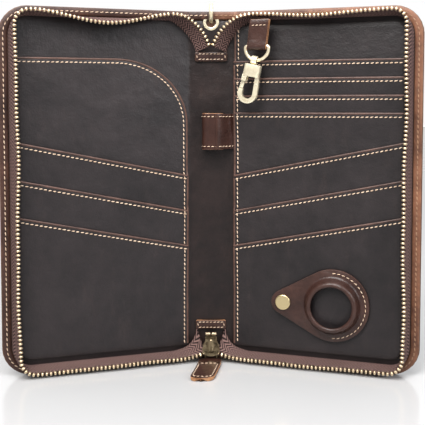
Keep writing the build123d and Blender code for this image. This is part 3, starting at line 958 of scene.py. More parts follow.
@dataclass
class PocketSide:
    """All the flat pockets of one cover, as they lie on each other."""

    form: Form
    side: Side
    panel_face: float = 4.3
    slot_back: float = 4.4
    leather: float = 0.8
    gap: float = 0.15
    far_inset: float = 10.0
    panel_inset: float = 9.5
    turned_width: float = 1.3
    sewn_below: float = 2.5
    slots: list[Slot] = field(default_factory=list)

    def __post_init__(self) -> None:
        """Lists this side's slots, the topmost first."""
        side = self.side
        if side is Side.RIGHT:
            for number, top in enumerate((188.7, 178.1, 167.5, 156.9), 1):
                foot = 112.0 if number == 4 else top - 16.6
                self.slots.append(Slot(side, f"right_card_slot_{number}", top, 0.0, 16.6, 10.6, foot))
        for place, top in zip(("top", "middle", "bottom"), (117.8, 95.6, 73.6)):
            foot = 0.0 if place == "bottom" else top - 30.0
            self.slots.append(Slot(side, f"{side.label}_{place}_slot", top, 11.8, 28.0, 22.1, foot))

    def depth(self, slot: Slot, x: np.ndarray, y: np.ndarray) -> np.ndarray:
        """How far forward a slot's face stands at points of the flat pattern."""
        near = self.form.panel_edge
        below = (slot.edge_height(x, near) - y) * math.cos(math.radians(slot.rise))
        lean = np.clip(1 - below / slot.length, 0, 1.05)
        lift = (self.leather + self.gap) * slot.length / slot.pitch
        far = self.form.free_edge - self.far_inset
        across = np.clip((np.abs(x) - near) / (far - near), 0, 1)
        belly = 0.45 * np.sin(math.pi * across) ** 0.7 * lean**0.8
        ripple = 0.10 * np.sin(across * 17.0 + slot.top) * lean * np.sin(math.pi * across)
        return self.slot_back + self.leather + lift * lean + belly + ripple

    def surface(self, x: float, y: float) -> float:
        """The depth of the foremost pocket leather at a point of the flat pattern."""
        found = self.panel_face
        near = self.form.panel_edge
        for slot in self.slots:
            if slot.foot <= y <= slot.edge_height(x, near):
                found = max(found, float(self.depth(slot, np.array([x]), np.array([y]))[0]))
        return found

    def build_panel(self) -> None:
        """Builds the right side's full panel or the left side's document pocket with its curved corner."""
        form, side = self.form, self.side
        far = form.free_edge - self.panel_inset
        high = form.height - self.panel_inset if side is Side.RIGHT else 189.5
        xs = sorted((side.hand * form.panel_edge, side.hand * far))
        name = "right_panel" if side is Side.RIGHT else "left_document_pocket_hide"
        node = "right_inner_panel" if side is Side.RIGHT else "left_document_pocket"
        panel = flat_sheet(name, (xs[0], self.panel_inset), (xs[1], high), 4.0)
        cuts = form.corner_cuts(side, self.panel_inset, self.panel_inset)
        near, top = form.panel_edge, high - 1.0
        if side is Side.LEFT:
            cuts = cuts[:7] + rounded((-near - 45.0, 149.5), (45.0, 40.0), 0, 90, 16)
            curve, rise, spine_top = 45, 40, 149.5
            corner = [
                (-near - curve + curve * math.cos(a), spine_top + rise * math.sin(a))
                for a in np.linspace(0, math.pi / 2, 25)
            ]
            border = [(-near, y) for y in np.linspace(self.panel_inset + 1.5, 148, 40)] + corner
            border += [(x, high) for x in np.linspace(-near - 47, -far + 1, 16)]
            border = border[::-1]
        else:
            border = [(near, y) for y in np.linspace(self.panel_inset + 1.5, top, 60)]
        trim(panel, cuts)
        rows = read(panel)
        rows[:, 2] = self.panel_face
        if side is Side.LEFT:
            share = np.clip((rows[:, 1] - 110) / 80, 0, 1) * np.sin(
                math.pi * np.clip((np.abs(rows[:, 0]) - near) / (far - near), 0, 1)
            )
            rows[:, 2] += 1.3 * share
        write(panel, rows)
        Finish.POCKET.dress(panel)
        thicken(panel, 1.0, 0.3, Finish.TURNED)
        form.put(panel, side.body)
        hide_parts(node)
        self.edge_border(side, border, far, near)

    def edge_border(self, side: Side, border: list[Point2], far: float, near: float) -> None:
        """Turns and sews the panel's open border.

        Args:
            side: the cover.
            border: the border's points in the flat pattern, the leather on their left-hand side seen from
                inside.
            far: the distance from the spine's middle to the panel's far edge.
            near: the distance to its edge beside the spine.
        """

        def face(x: float, y: float) -> float:
            """The depth of the leather that the border lies on."""
            depth = self.surface(x, y)
            if side is Side.LEFT and depth == self.panel_face:
                share = min(1.0, max(0.0, (y - 110) / 80))
                depth += 1.3 * share * math.sin(math.pi * min(1.0, max(0.0, (abs(x) - near) / (far - near))))
            return depth

        inward = -1
        middle = Line.flat([(x, y, face(x, y)) for x, y in border])
        offset = self.offset(middle, inward * (self.turned_width / 2 - 0.25))
        turned = strip(f"{side.label}_panel_border", offset.lift(0.35), self.turned_width, 1.4, 0.4, 2.0)
        Finish.TURNED.dress(turned)
        self.form.put(turned, side.body)
        row = self.offset(middle, inward * self.sewn_below)
        points = row.points.copy()
        points[:, 2] = [face(x, y) + 0.12 for x, y in points[:, :2]]
        sewn = stitches(f"{side.label}_panel_stitches", [Line.flat(points)])
        Finish.CREAM.dress(sewn)
        self.form.put(sewn, side.body)

    @staticmethod
    def offset(line: Line, amount: float) -> Line:
        """A line moved sideways in the plane of the leather; plus is to its left."""
        along = np.gradient(line.points, line.stations, axis=0)
        beside = np.cross(line.ups, along)
        beside /= np.linalg.norm(beside, axis=1, keepdims=True)
        return Line(line.points + beside * amount, line.ups)

    def build_slot(self, slot: Slot) -> None:
        """Cuts one slot, leans it forward, turns its edge and sews it."""
        form, side = self.form, self.side
        near, far = form.panel_edge, form.free_edge - self.far_inset
        ends = self.far_inset if slot.foot == 0.0 else slot.foot
        xs = sorted((side.hand * near, side.hand * far))
        high = slot.edge_height(far, near)
        hide = flat_sheet(f"{slot.name}_hide", (xs[0], max(ends, self.far_inset)), (xs[1], high), 3.2)
        angle = math.radians(slot.rise)
        cuts: list[Cut] = []
        if slot.rise:
            cuts.append(((side.hand * near, slot.top), (-side.hand * math.sin(angle), math.cos(angle))))
        if slot.foot and slot.rise:
            cuts.append(((side.hand * near, slot.foot), (side.hand * math.sin(angle), -math.cos(angle))))
        if not slot.foot:
            cuts += form.corner_cuts(side, self.far_inset, self.far_inset)[:7]
        trim(hide, cuts)
        rows = read(hide)
        rows[:, 2] = self.depth(slot, rows[:, 0], rows[:, 1])
        write(hide, rows)
        Finish.POCKET.dress(hide)
        thicken(hide, self.leather, 0.22, Finish.TURNED)
        form.put(hide, side.body)
        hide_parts(slot.name)

        def row(below: float, lift: float, short: float) -> Line:
            """A line across the slot, below its edge."""
            places = np.linspace(near + short, far - 0.6, 46) * side.hand
            heights = slot.edge_height(places, near) - below / math.cos(angle)
            depths = self.depth(slot, places, heights) + lift
            points = np.column_stack([places, heights, depths])
            return Line.flat(points if side is Side.RIGHT else points[::-1])

        turned = strip(
            f"{slot.name}_edge", row(self.turned_width / 2 - 0.2, 0.25, 0.2), self.turned_width, 1.1, 0.35
        )
        Finish.TURNED.dress(turned)
        form.put(turned, side.body)
        sewn = stitches(f"{slot.name}_stitches", [row(self.sewn_below, 0.1, 0.6)])
        Finish.CREAM.dress(sewn)
        form.put(sewn, side.body)

    def build(self) -> None:
        """Builds this side's pockets."""
        self.build_panel()
        for slot in self.slots:
            self.build_slot(slot)
        logger.info("%s pockets: panel and %d slots", self.side.label, len(self.slots))


# ------------------------------------------------------------------------------------------- zip
@dataclass
class ZipSide:
    """One side's standing tape with its teeth, and its two curved ends at the spine."""

    form: Form
    side: Side
    foot_inset: float = 6.0
    head_edge: float = 9.0
    head_ends: float = 3.6
    foot_depth: float = 2.3
    head_depth: float = 12.3
    start: float = 14.5
    cloth: float = 0.9
    pitch: float = 2.5
    tooth: Point3 = (1.5, 2.3, 2.3)
    chain_depth: float = 11.0
    apex: float = 197.4
    droop: float = 6.0

    def wave(self, line: np.ndarray) -> np.ndarray:
        """Lets a standing line of the tape wander a little, as soft cloth does."""
        steps = np.concatenate([[0.0], np.cumsum(np.linalg.norm(np.diff(line, axis=0), axis=1))])
        share = steps / steps[-1]
        held = np.sin(math.pi * share) ** 0.3
        moved = line.copy()
        phase = 0.7 if self.side is Side.LEFT else 2.1
        sway = 0.45 * np.sin(steps / 21.0 + phase) + 0.25 * np.sin(steps / 9.0)
        moved[:, 0] += self.side.hand * held * sway
        moved[:, 1] += held * (0.40 * np.sin(steps / 17.0 + 1.3 * phase) + 0.2 * np.sin(steps / 7.3))
        moved[:, 2] += held * 0.5 * np.sin(steps / 26.0 + phase)
        near = self.form.half_spine + self.start
        across = np.clip((np.abs(line[:, 0]) - near) / (self.form.free_edge - 20.0 - near), 0, 1)
        upper = line[:, 1] > self.form.height - 12.0
        droop = self.droop if self.side is Side.LEFT else self.droop * 0.25
        moved[:, 1] -= np.where(upper, droop * np.sin(math.pi * across) ** 1.5, 0.0)
        return moved

    def world_lines(self) -> tuple[np.ndarray, np.ndarray]:
        """The tape's foot and head round the cover, in the frame's millimetres."""
        near = self.form.half_spine + self.start
        foot = self.form.outline(self.side, near, self.foot_inset, self.foot_inset, self.foot_depth)
        head = self.wave(self.form.outline(self.side, near, self.head_edge, self.head_ends, self.head_depth))
        return self.form.fold(foot), self.form.fold(head)

    def chain(self, name: str, line: Line, body: str | None) -> Piece:
        """Repeats one tooth along the tape's head.

        Args:
            name: the piece's name.
            line: the tape's head, its up pointing out of the tape.
            body: the body that it rides on, or None to leave it unattached.

        Returns:
            The row of teeth.
        """
        bpy.ops.object.select_all(action="DESELECT")
        bpy.ops.mesh.primitive_cube_add(size=1, location=(0, 0, 0))
        tooth = bpy.context.object
        long, wide, high = self.tooth
        write(tooth, read(tooth) * (long, wide, high) + (0, 0, high / 2 - 0.3))
        apply(tooth, "BEVEL", width=0.48, segments=1, limit_method="NONE")
        count = max(1, int((line.length - long) / self.pitch) + 1)
        slack = (line.length - (count - 1) * self.pitch) / 2
        write(tooth, read(tooth) + (slack, 0, 0))
        apply(
            tooth, "ARRAY", count=count, use_relative_offset=False, use_constant_offset=True,
            constant_offset_displace=(self.pitch, 0, 0),
        )
        line.lay(tooth)
        tooth.name = name
        Finish.TEETH.dress(tooth)
        write(tooth, read(tooth) * MM)
        smooth(tooth, 50)
        if body:
            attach(tooth, body)
        return tooth

    def build_straight(self) -> None:
        """Builds the tape and teeth round the cover's three free sides."""
        side = self.side
        foot, head = self.world_lines()
        rows = [foot + (head - foot) * v for v in np.linspace(0, 1, 6)]
        swell = np.sin(np.linspace(0, math.pi, 6)) * 0.5
        out = np.cross(np.gradient(foot, axis=0), head - foot)
        out /= np.linalg.norm(out, axis=1, keepdims=True)
        rows = [row + out * s * side.hand for row, s in zip(rows, swell)]
        tape = loft(f"{side.label}_tape", rows, side.hand)
        Finish.TAPE.dress(tape)
        apply(tape, "SOLIDIFY", thickness=self.cloth, offset=0)
        self.form.put_world(tape, side.body)
        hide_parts(f"{side.label}_zip_tape")
        teeth = self.chain(f"{side.label}_teeth", Line(head, head - foot), side.body)
        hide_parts(f"{side.label}_zip_teeth")

    def end_curve(
        self, first: np.ndarray, pull_first: np.ndarray, last: np.ndarray, pull_last: np.ndarray
    ) -> np.ndarray:
        """A smooth curve between two points that leaves each in its own direction."""
        t = np.linspace(0, 1, 26)[:, None]
        a, b = first + pull_first, last + pull_last
        return first * (1 - t) ** 3 + 3 * a * t * (1 - t) ** 2 + 3 * b * t**2 * (1 - t) + last * t**3

    def build_end(self, top: bool) -> None:
        """Builds the tape and teeth that leave the cover for the closed chain in front of the spine.

        Args:
            top: True for the V at the top, False for the end in the slider.
        """
        side, form = self.side, self.form
        hand = side.hand
        foot, head = self.world_lines()
        pick = -1 if top else 0
        beyond = -2 if top else 1
        back = form.back
        wall_head, wall_foot = head[pick], foot[pick]
        away = wall_head - head[beyond]
        away /= np.linalg.norm(away)
        if top:
            meet = np.array([hand * 1.7, back - self.chain_depth, self.apex])
            tab = np.array([hand * 9.2, back - 3.4, 194.7])
            pulls = away * 11.0, np.array([hand * 3.0, 0, 10.0])
            foot_pulls = away * 5.0, np.array([hand * 2.0, -0.5, 10.0])
        else:
            meet = np.array([hand * 4.0, back - self.chain_depth, 7.2])
            tab = np.array([hand * 9.0, back - 3.4, 19.6])
            pulls = away * 7.0, np.array([hand * 3.0, 0, -2.6])
            foot_pulls = away * 8.0, np.array([hand * 1.5, -2.0, -12.0])
        teeth_line = self.end_curve(wall_head, pulls[0], meet, pulls[1])
        foot_line = self.end_curve(wall_foot, foot_pulls[0], tab, foot_pulls[1])
        place = "top" if top else "bottom"
        rows = [teeth_line + (foot_line - teeth_line) * v for v in np.linspace(0, 1, 9)]
        turned = hand if top else -hand
        cloth = loft(f"{side.label}_{place}_end_tape", rows, -turned)
        Finish.TAPE.dress(cloth)
        apply(cloth, "SOLIDIFY", thickness=0.7, offset=0)
        write(cloth, read(cloth) * MM)
        form.blend(cloth, side, 9.5)
        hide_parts(f"{side.label}_{place}_zip_corner")
        out = teeth_line - foot_line
        teeth = self.chain(f"{side.label}_{place}_end_teeth", Line(teeth_line, out), None)
        form.blend(teeth, side, 9.5)
        piping_line = Line(rows[4], np.cross(np.gradient(rows[4], axis=0), rows[0] - rows[8]) * -turned)
        piping = strip(f"{side.label}_{place}_piping", piping_line, 0.9, 0.9, 0.25)
        Finish.TURNED.dress(piping)
        write(piping, read(piping) * MM)
        form.blend(piping, side, 9.5)

    def build(self) -> None:
        """Builds this side of the zip."""
        self.build_straight()
        self.build_end(True)
        self.build_end(False)
        logger.info("%s zip: tape, teeth and two ends", self.side.label)


# ------------------------------------------------------------------------------------------- spine fittings
@dataclass
class SpineFittings:
    """What is fixed to the spine: eyelet, wrist ring, zip tabs and pen loop."""

    form: Form
    tab_back: float = 2.5
    tab_leather: float = 1.8

    def build_metal(self) -> None:
        """Rounds the eyelet, its washer and the wrist ring."""
        for node, edge in (("eyelet", 0.22), ("eyelet_washer", 0.15)):
            piece = from_cad(node, f"{node}_metal", edge)
            Finish.GOLD.dress(piece)
            self.form.put_world(piece, "spine")
            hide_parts(node)
        ring = from_cad("wrist_ring", "wrist_ring_metal")
        Finish.GOLD.dress(ring)
        self.form.put_world(ring, "wrist_ring")
        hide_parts("wrist_ring")
        stops = from_cad("zip_end_stops", "zip_stops_metal", 0.5, 3)
        Finish.TEETH.dress(stops)
        self.form.put_world(stops, "spine")
        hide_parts("zip_end_stops")

    def build_tab(self, node: str) -> None:
        """Cuts a zip tab and sews it round with a box of stitches."""
        low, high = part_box(node)
        low, high = low / MM, high / MM
        tab = flat_sheet(f"{node}_hide", (low.x, low.z), (high.x, high.z), 0.9)
        radius = 1.0
        cuts = []
        quarters = ((high.x, high.z, 0), (low.x, high.z, 90), (low.x, low.z, 180), (high.x, low.z, 270))
        for x, y, start in quarters:
            centre = (x - math.copysign(radius, x), y + (radius if y == low.z else -radius))
            cuts += rounded(centre, (radius, radius), start, start + 90, 3)
        trim(tab, cuts)
        rows = read(tab)
        middle = (low.z + high.z) / 2
        across = (rows[:, 0] / high.x) ** 2
        upright = ((rows[:, 1] - middle) / (high.z - middle)) ** 2
        face = self.tab_back + self.tab_leather
        rows[:, 2] = face + 0.35 * (1 - across) * (1 - upright)
        write(tab, rows)
        Finish.HOLDER.dress(tab)
        thicken(tab, self.tab_leather, 0.35, Finish.RAW)
        self.form.put(tab, "spine")
        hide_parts(node)
        inset = 1.15
        corners = [
            (low.x + inset, low.z + inset), (high.x - inset, low.z + inset),
            (high.x - inset, high.z - inset), (low.x + inset, high.z - inset),
        ]
        box = [
            Line.straight((*a, face + 0.18), (*b, face + 0.18), 1.5)
            for a, b in zip(corners, corners[1:] + corners[:1])
        ]
        sewn = stitches(f"{node}_stitches", box, 2.3, 1.8, 0.55)
        Finish.CREAM.dress(sewn)
        self.form.put(sewn, "spine")

    def build_pen_loop(self) -> None:
        """Rolls the pen loop and tucks its tail under the right panel."""
        low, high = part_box("pen_loop")
        low, high = low / MM, high / MM
        bpy.ops.object.select_all(action="DESELECT")
        bpy.ops.mesh.primitive_cylinder_add(vertices=64, radius=1, depth=1, end_fill_type="NOTHING")
        loop = bpy.context.object
        loop.name = "pen_loop_hide"
        only(loop)
        bpy.ops.object.mode_set(mode="EDIT")
        bpy.ops.mesh.select_all(action="SELECT")
        for share in np.linspace(-0.45, 0.45, 10):
            bpy.ops.mesh.select_all(action="SELECT")
            bpy.ops.mesh.bisect(plane_co=(0, 0, share), plane_no=(0, 0, 1))
        bpy.ops.object.mode_set(mode="OBJECT")
        rows = read(loop)
        wide, deep, tall = (high.x - low.x) / 2, (high.y - low.y) / 2, high.z - low.z
        power = 0.75
        flat = np.sign(rows[:, :2]) * np.abs(rows[:, :2]) ** power
        waist = 1 - 0.03 * np.cos(rows[:, 2] * math.pi)
        rows[:, 0] = (low.x + high.x) / 2 + flat[:, 0] * wide * waist
        rows[:, 1] = (low.y + high.y) / 2 + flat[:, 1] * deep * waist
        rows[:, 2] = (low.z + high.z) / 2 + rows[:, 2] * tall
        write(loop, rows)
        Finish.GLOSSY.dress(loop)
        thicken(loop, 1.2, 0.3, Finish.RAW)
        self.form.put_world(loop, "spine")
        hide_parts("pen_loop")
        rounds = []
        for height in (low.z + 2.0, high.z - 2.0):
            turn = np.linspace(math.pi, 2 * math.pi, 30)
            xs = (low.x + high.x) / 2 + np.sign(np.cos(turn)) * np.abs(np.cos(turn)) ** power * wide
            ys = (low.y + high.y) / 2 + np.sign(np.sin(turn)) * np.abs(np.sin(turn)) ** power * deep
            points = np.column_stack([xs, ys, np.full(30, height)])
            outward = np.column_stack([np.cos(turn), np.sin(turn), np.zeros(30)])
            rounds.append(Line(points, outward))
        sewn = stitches("pen_loop_stitches", rounds, 2.6, 1.9, 0.55)
        Finish.CREAM.dress(sewn)
        self.form.put_world(sewn, "spine")
        high_face = self.form.back - low.y + 0.2
        first, last = 3.0, self.form.panel_edge + 1.0

        def slope(x: np.ndarray) -> np.ndarray:
            """Height of the tail's face, from the loop's front down to the panel."""
            share = np.clip((x - first) / (last - first - 2.0), 0, 1)
            return high_face - (high_face - 4.4) * share * share * (3 - 2 * share)

        tail = flat_sheet("pen_loop_tail", (first, low.z + 0.3), (last, high.z - 0.3), 1.2)
        rows = read(tail)
        rows[:, 2] = slope(rows[:, 0])
        write(tail, rows)
        Finish.GLOSSY.dress(tail)
        thicken(tail, 0.8, 0.2)
        self.form.bend(tail, Side.RIGHT)
        xs = np.linspace(first + 1.0, last - 1.0, 16)
        seams = [
            Line.flat(np.column_stack([xs, np.full(16, y), slope(xs) + 0.12]))
            for y in (low.z + 2.0, high.z - 2.0)
        ]
        sewn = stitches("pen_loop_tail_stitches", seams, 2.6, 1.9, 0.55)
        Finish.CREAM.dress(sewn)
        self.form.bend(sewn, Side.RIGHT)

    def build(self) -> None:
        """Builds the spine's fittings."""
        self.build_metal()
        for node in ("top_zip_tab", "bottom_zip_tab"):
            self.build_tab(node)
        self.build_pen_loop()
        logger.info("spine fittings: eyelet, ring, tabs, pen loop")


# ------------------------------------------------------------------------------------------- slider
@dataclass
class SliderAndPuller:
    """The zip slider with its bail, the wire frame and the leather puller."""

    form: Form
    rim: float = 0.85
    sunk: float = 0.5
    length: float = 40.5
    neck: float = 2.6
    half_width: float = 7.0
    thick: float = 2.6
    drift: float = -6.0

    def build_slider(self) -> None:
        """Rounds the slider and sinks its front inside a raised rim."""
        slider = from_cad("slider_body", "slider_metal")
        only(slider)
        bpy.ops.object.mode_set(mode="EDIT")
        bpy.ops.mesh.select_all(action="DESELECT")
        bpy.ops.object.mode_set(mode="OBJECT")
        areas: dict[float, float] = {}
        for face in slider.data.polygons:
            if face.normal.y < -0.9:
                level = round(face.center.y, 1)
                areas[level] = areas.get(level, 0.0) + face.area
        front = max(areas, key=areas.get)

        def on_front(face: bpy.types.MeshPolygon) -> bool:
            """Whether a face lies in the slider's broad front."""
            return face.normal.y < -0.9 and abs(face.center.y - front) < 0.12

        for face in slider.data.polygons:
            face.select = on_front(face)
        Finish.BRASS.dress(slider)
        Finish.GOLD.trim_rim(slider)
        bpy.ops.object.mode_set(mode="EDIT")
        bpy.ops.mesh.inset(thickness=self.rim)
        bpy.ops.transform.translate(value=(0, self.sunk, 0))
        bpy.ops.object.mode_set(mode="OBJECT")
        for face in slider.data.polygons:
            if on_front(face):
                face.material_index = 1
        apply(slider, "BEVEL", width=0.18, segments=2, limit_method="ANGLE", angle_limit=math.radians(35))
        self.form.put_world(slider, "slider")
        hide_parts("slider_body")
        bail = from_cad("slider_bail", "slider_bail_metal", 0.3, 3)
        Finish.BRASS.dress(bail)
        self.form.put_world(bail, "slider")
        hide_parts("slider_bail")
        wire = from_cad("pull_ring", "pull_ring_metal")
        Finish.BRASS.dress(wire)
        self.form.put_world(wire, "pull_ring")
        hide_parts("pull_ring")

    def half_at(self, along: np.ndarray) -> np.ndarray:
        """Half of the puller's width at a distance from its neck."""
        share = np.clip((along - 1.8) / 4.6, 0, 1)
        body = self.neck + (self.half_width - self.neck) * share * share * (3 - 2 * share)
        to_tip = np.clip((self.length - along) / 5.2, 0, 1)
        return body * np.sqrt(np.clip(1 - (1 - to_tip) ** 2.6, 0.0004, 1))

    def build_puller(self) -> None:
        """Shapes the folded leather of the puller and sews it round."""
        _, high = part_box("leather_puller")
        bar = high.y / MM - 1.4
        bpy.ops.mesh.primitive_grid_add(x_subdivisions=46, y_subdivisions=12, size=1)
        piece = bpy.context.object
        piece.name = "puller_hide"
        rows = read(piece)
        along = (rows[:, 0] + 0.5) * self.length
        across = rows[:, 1] * 2
        half = self.half_at(along)
        crown = 0.35 * (1 - across**2)
        lift = 0.25 * np.sin(along / self.length * math.pi)
        drift = self.drift * (along / self.length) ** 1.4
        rows[:, 0] = across * half + drift
        rows[:, 1] = bar - along
        rows[:, 2] = self.thick - 0.07 + crown + lift
        write(piece, rows)
        only(piece)
        bpy.ops.object.mode_set(mode="EDIT")
        bpy.ops.mesh.select_all(action="SELECT")
        bpy.ops.mesh.normals_make_consistent(inside=False)
        bpy.ops.object.mode_set(mode="OBJECT")
        if sum(p.normal.z for p in piece.data.polygons) < 0:
            flip(piece)
        Finish.GLOSSY.dress(piece)
        thicken(piece, self.thick - 0.4, 0.3, Finish.RAW)
        self.form.put_world(piece, "leather_puller")
        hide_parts("leather_puller")
        bpy.ops.object.select_all(action="DESELECT")
        bpy.ops.mesh.primitive_cylinder_add(
            vertices=32, radius=1.45, depth=2 * self.neck, location=(0, bar, 1.5),
            rotation=(0, math.pi / 2, 0),
        )
        wrap = bpy.context.object
        wrap.name = "puller_fold"
        bpy.ops.object.transform_apply(location=True, rotation=True, scale=True)
        apply(wrap, "BEVEL", width=0.35, segments=3, limit_method="ANGLE")
        Finish.GLOSSY.dress(wrap)
        self.form.put_world(wrap, "leather_puller")

        def edge(start: float, end: float, inset: float, hand: int) -> list[Point3]:
            """Points along the puller's side, inside its edge."""
            made = []
            for a in np.linspace(start, end, 24):
                width = float(self.half_at(np.array([a]))[0]) - inset
                face = self.thick + 0.25 + 0.25 * math.sin(a / self.length * math.pi)
                made.append((hand * width + self.drift * (a / self.length) ** 1.4, bar - a, face))
            return made

        right = edge(15.0, self.length - 4.5, 1.3, 1)
        left = edge(15.0, self.length - 4.5, 1.3, -1)
        drift = right[-1][0] - (float(self.half_at(np.array([self.length - 4.5]))[0]) - 1.3)
        turn = [
            (
                drift + math.cos(a) * (right[-1][0] - drift), right[-1][1] - 2.6 * math.sin(a),
                right[-1][2] - 0.08,
            )
            for a in np.linspace(0.2, math.pi - 0.2, 14)
        ]
        across = [right[0], ((right[0][0] + left[0][0]) / 2, right[0][1], right[0][2] + 0.12), left[0]]
        seams = [Line.flat(right + turn + left[::-1]), Line.flat(across)]
        sewn = stitches("puller_stitches", seams, 2.6, 1.9, 0.65)
        Finish.CREAM.dress(sewn)
        self.form.put_world(sewn, "leather_puller")

    def build(self) -> None:
        """Builds the slider and its puller."""
        self.build_slider()
        self.build_puller()
        logger.info("slider, bail, pull ring and puller")


# ---------------------------------------------------------------------------------------- key strap and hook
@dataclass
class KeyStrap:
    """The short strap with its ring, and the swivel hook on it."""

    form: Form
    depth: float = 13.9
    middle: float = 18.7
    width: float = 11.8
    top: float = 212.4
    bar: float = 197.2
    leather: float = 1.3
    wire: float = 1.08
    tilt: float = 1.8

    def build_strap(self) -> None:
        """Folds the strap round the ring's bar and sews it across."""
        outer = self.wire + self.leather
        flat = 0.75 * outer
        turn = np.linspace(math.pi, 2 * math.pi, 17)
        section = [(-flat, self.top + 0.8)] + [(-flat, y) for y in np.linspace(self.top - 2, self.bar + 3, 7)]
        section += [(outer * math.cos(a), self.bar + outer * math.sin(a)) for a in turn]
        section += [(flat, y) for y in np.linspace(self.bar + 3, self.top - 2, 7)] + [(flat, self.top + 0.8)]
        centre = self.form.half_spine + self.middle
        xs = np.linspace(centre - self.width / 2, centre + self.width / 2, 9)
        tilt = self.tilt / (self.top - self.bar)
        rows = [np.array([(x + tilt * (y - self.bar), y, self.depth + z) for z, y in section]) for x in xs]
        strap = loft("key_strap_hide", rows, -1)
        outward = sum(p.normal.z * (p.center.z - self.depth) for p in strap.data.polygons)
        if outward < 0:
            flip(strap)
        Finish.GLOSSY.dress(strap)
        thicken(strap, self.leather, 0.25, Finish.RAW)
        self.form.put(strap, "key_strap")
        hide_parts("key_strap")
        face = self.depth + flat + 0.1
        across = Line.straight(
            (centre - self.width / 2 + 2.6, 209.6, face), (centre + self.width / 2 + 0.2, 209.6, face), 1.5
        )
        sewn = stitches("key_strap_stitches", [across], 2.3, 1.8, 0.55)
        Finish.CREAM.dress(sewn)
        self.form.put(sewn, "key_strap")

    def build_hook(self) -> None:
        """Rounds the ring, the swivel eye, the hook and its gate."""
        for node, name, body, edge, finish in (
            ("key_strap_ring", "key_ring_metal", "key_strap_ring", 0.0, Finish.GOLD),
            ("swivel_eye", "swivel_eye_metal", "swivel_eye", 0.3, Finish.GOLD),
            ("snap_hook", "snap_hook_metal", "snap_hook", 0.55, Finish.GOLD),
            ("hook_gate_pin", "gate_pin_metal", "snap_hook", 0.1, Finish.GOLD),
            ("hook_gate", "hook_gate_metal", "hook_gate", 0.25, Finish.GOLD),
            ("hook_gate_spring", "gate_spring_metal", "snap_hook", 0.05, Finish.STEEL),
        ):
            piece = from_cad(node, name, edge, 3)
            finish.dress(piece)
            self.form.put_world(piece, body)
            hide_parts(node)

    def build(self) -> None:
        """Builds the strap and the hook."""
        self.build_strap()
        self.build_hook()
        logger.info("key strap, ring and swivel hook")


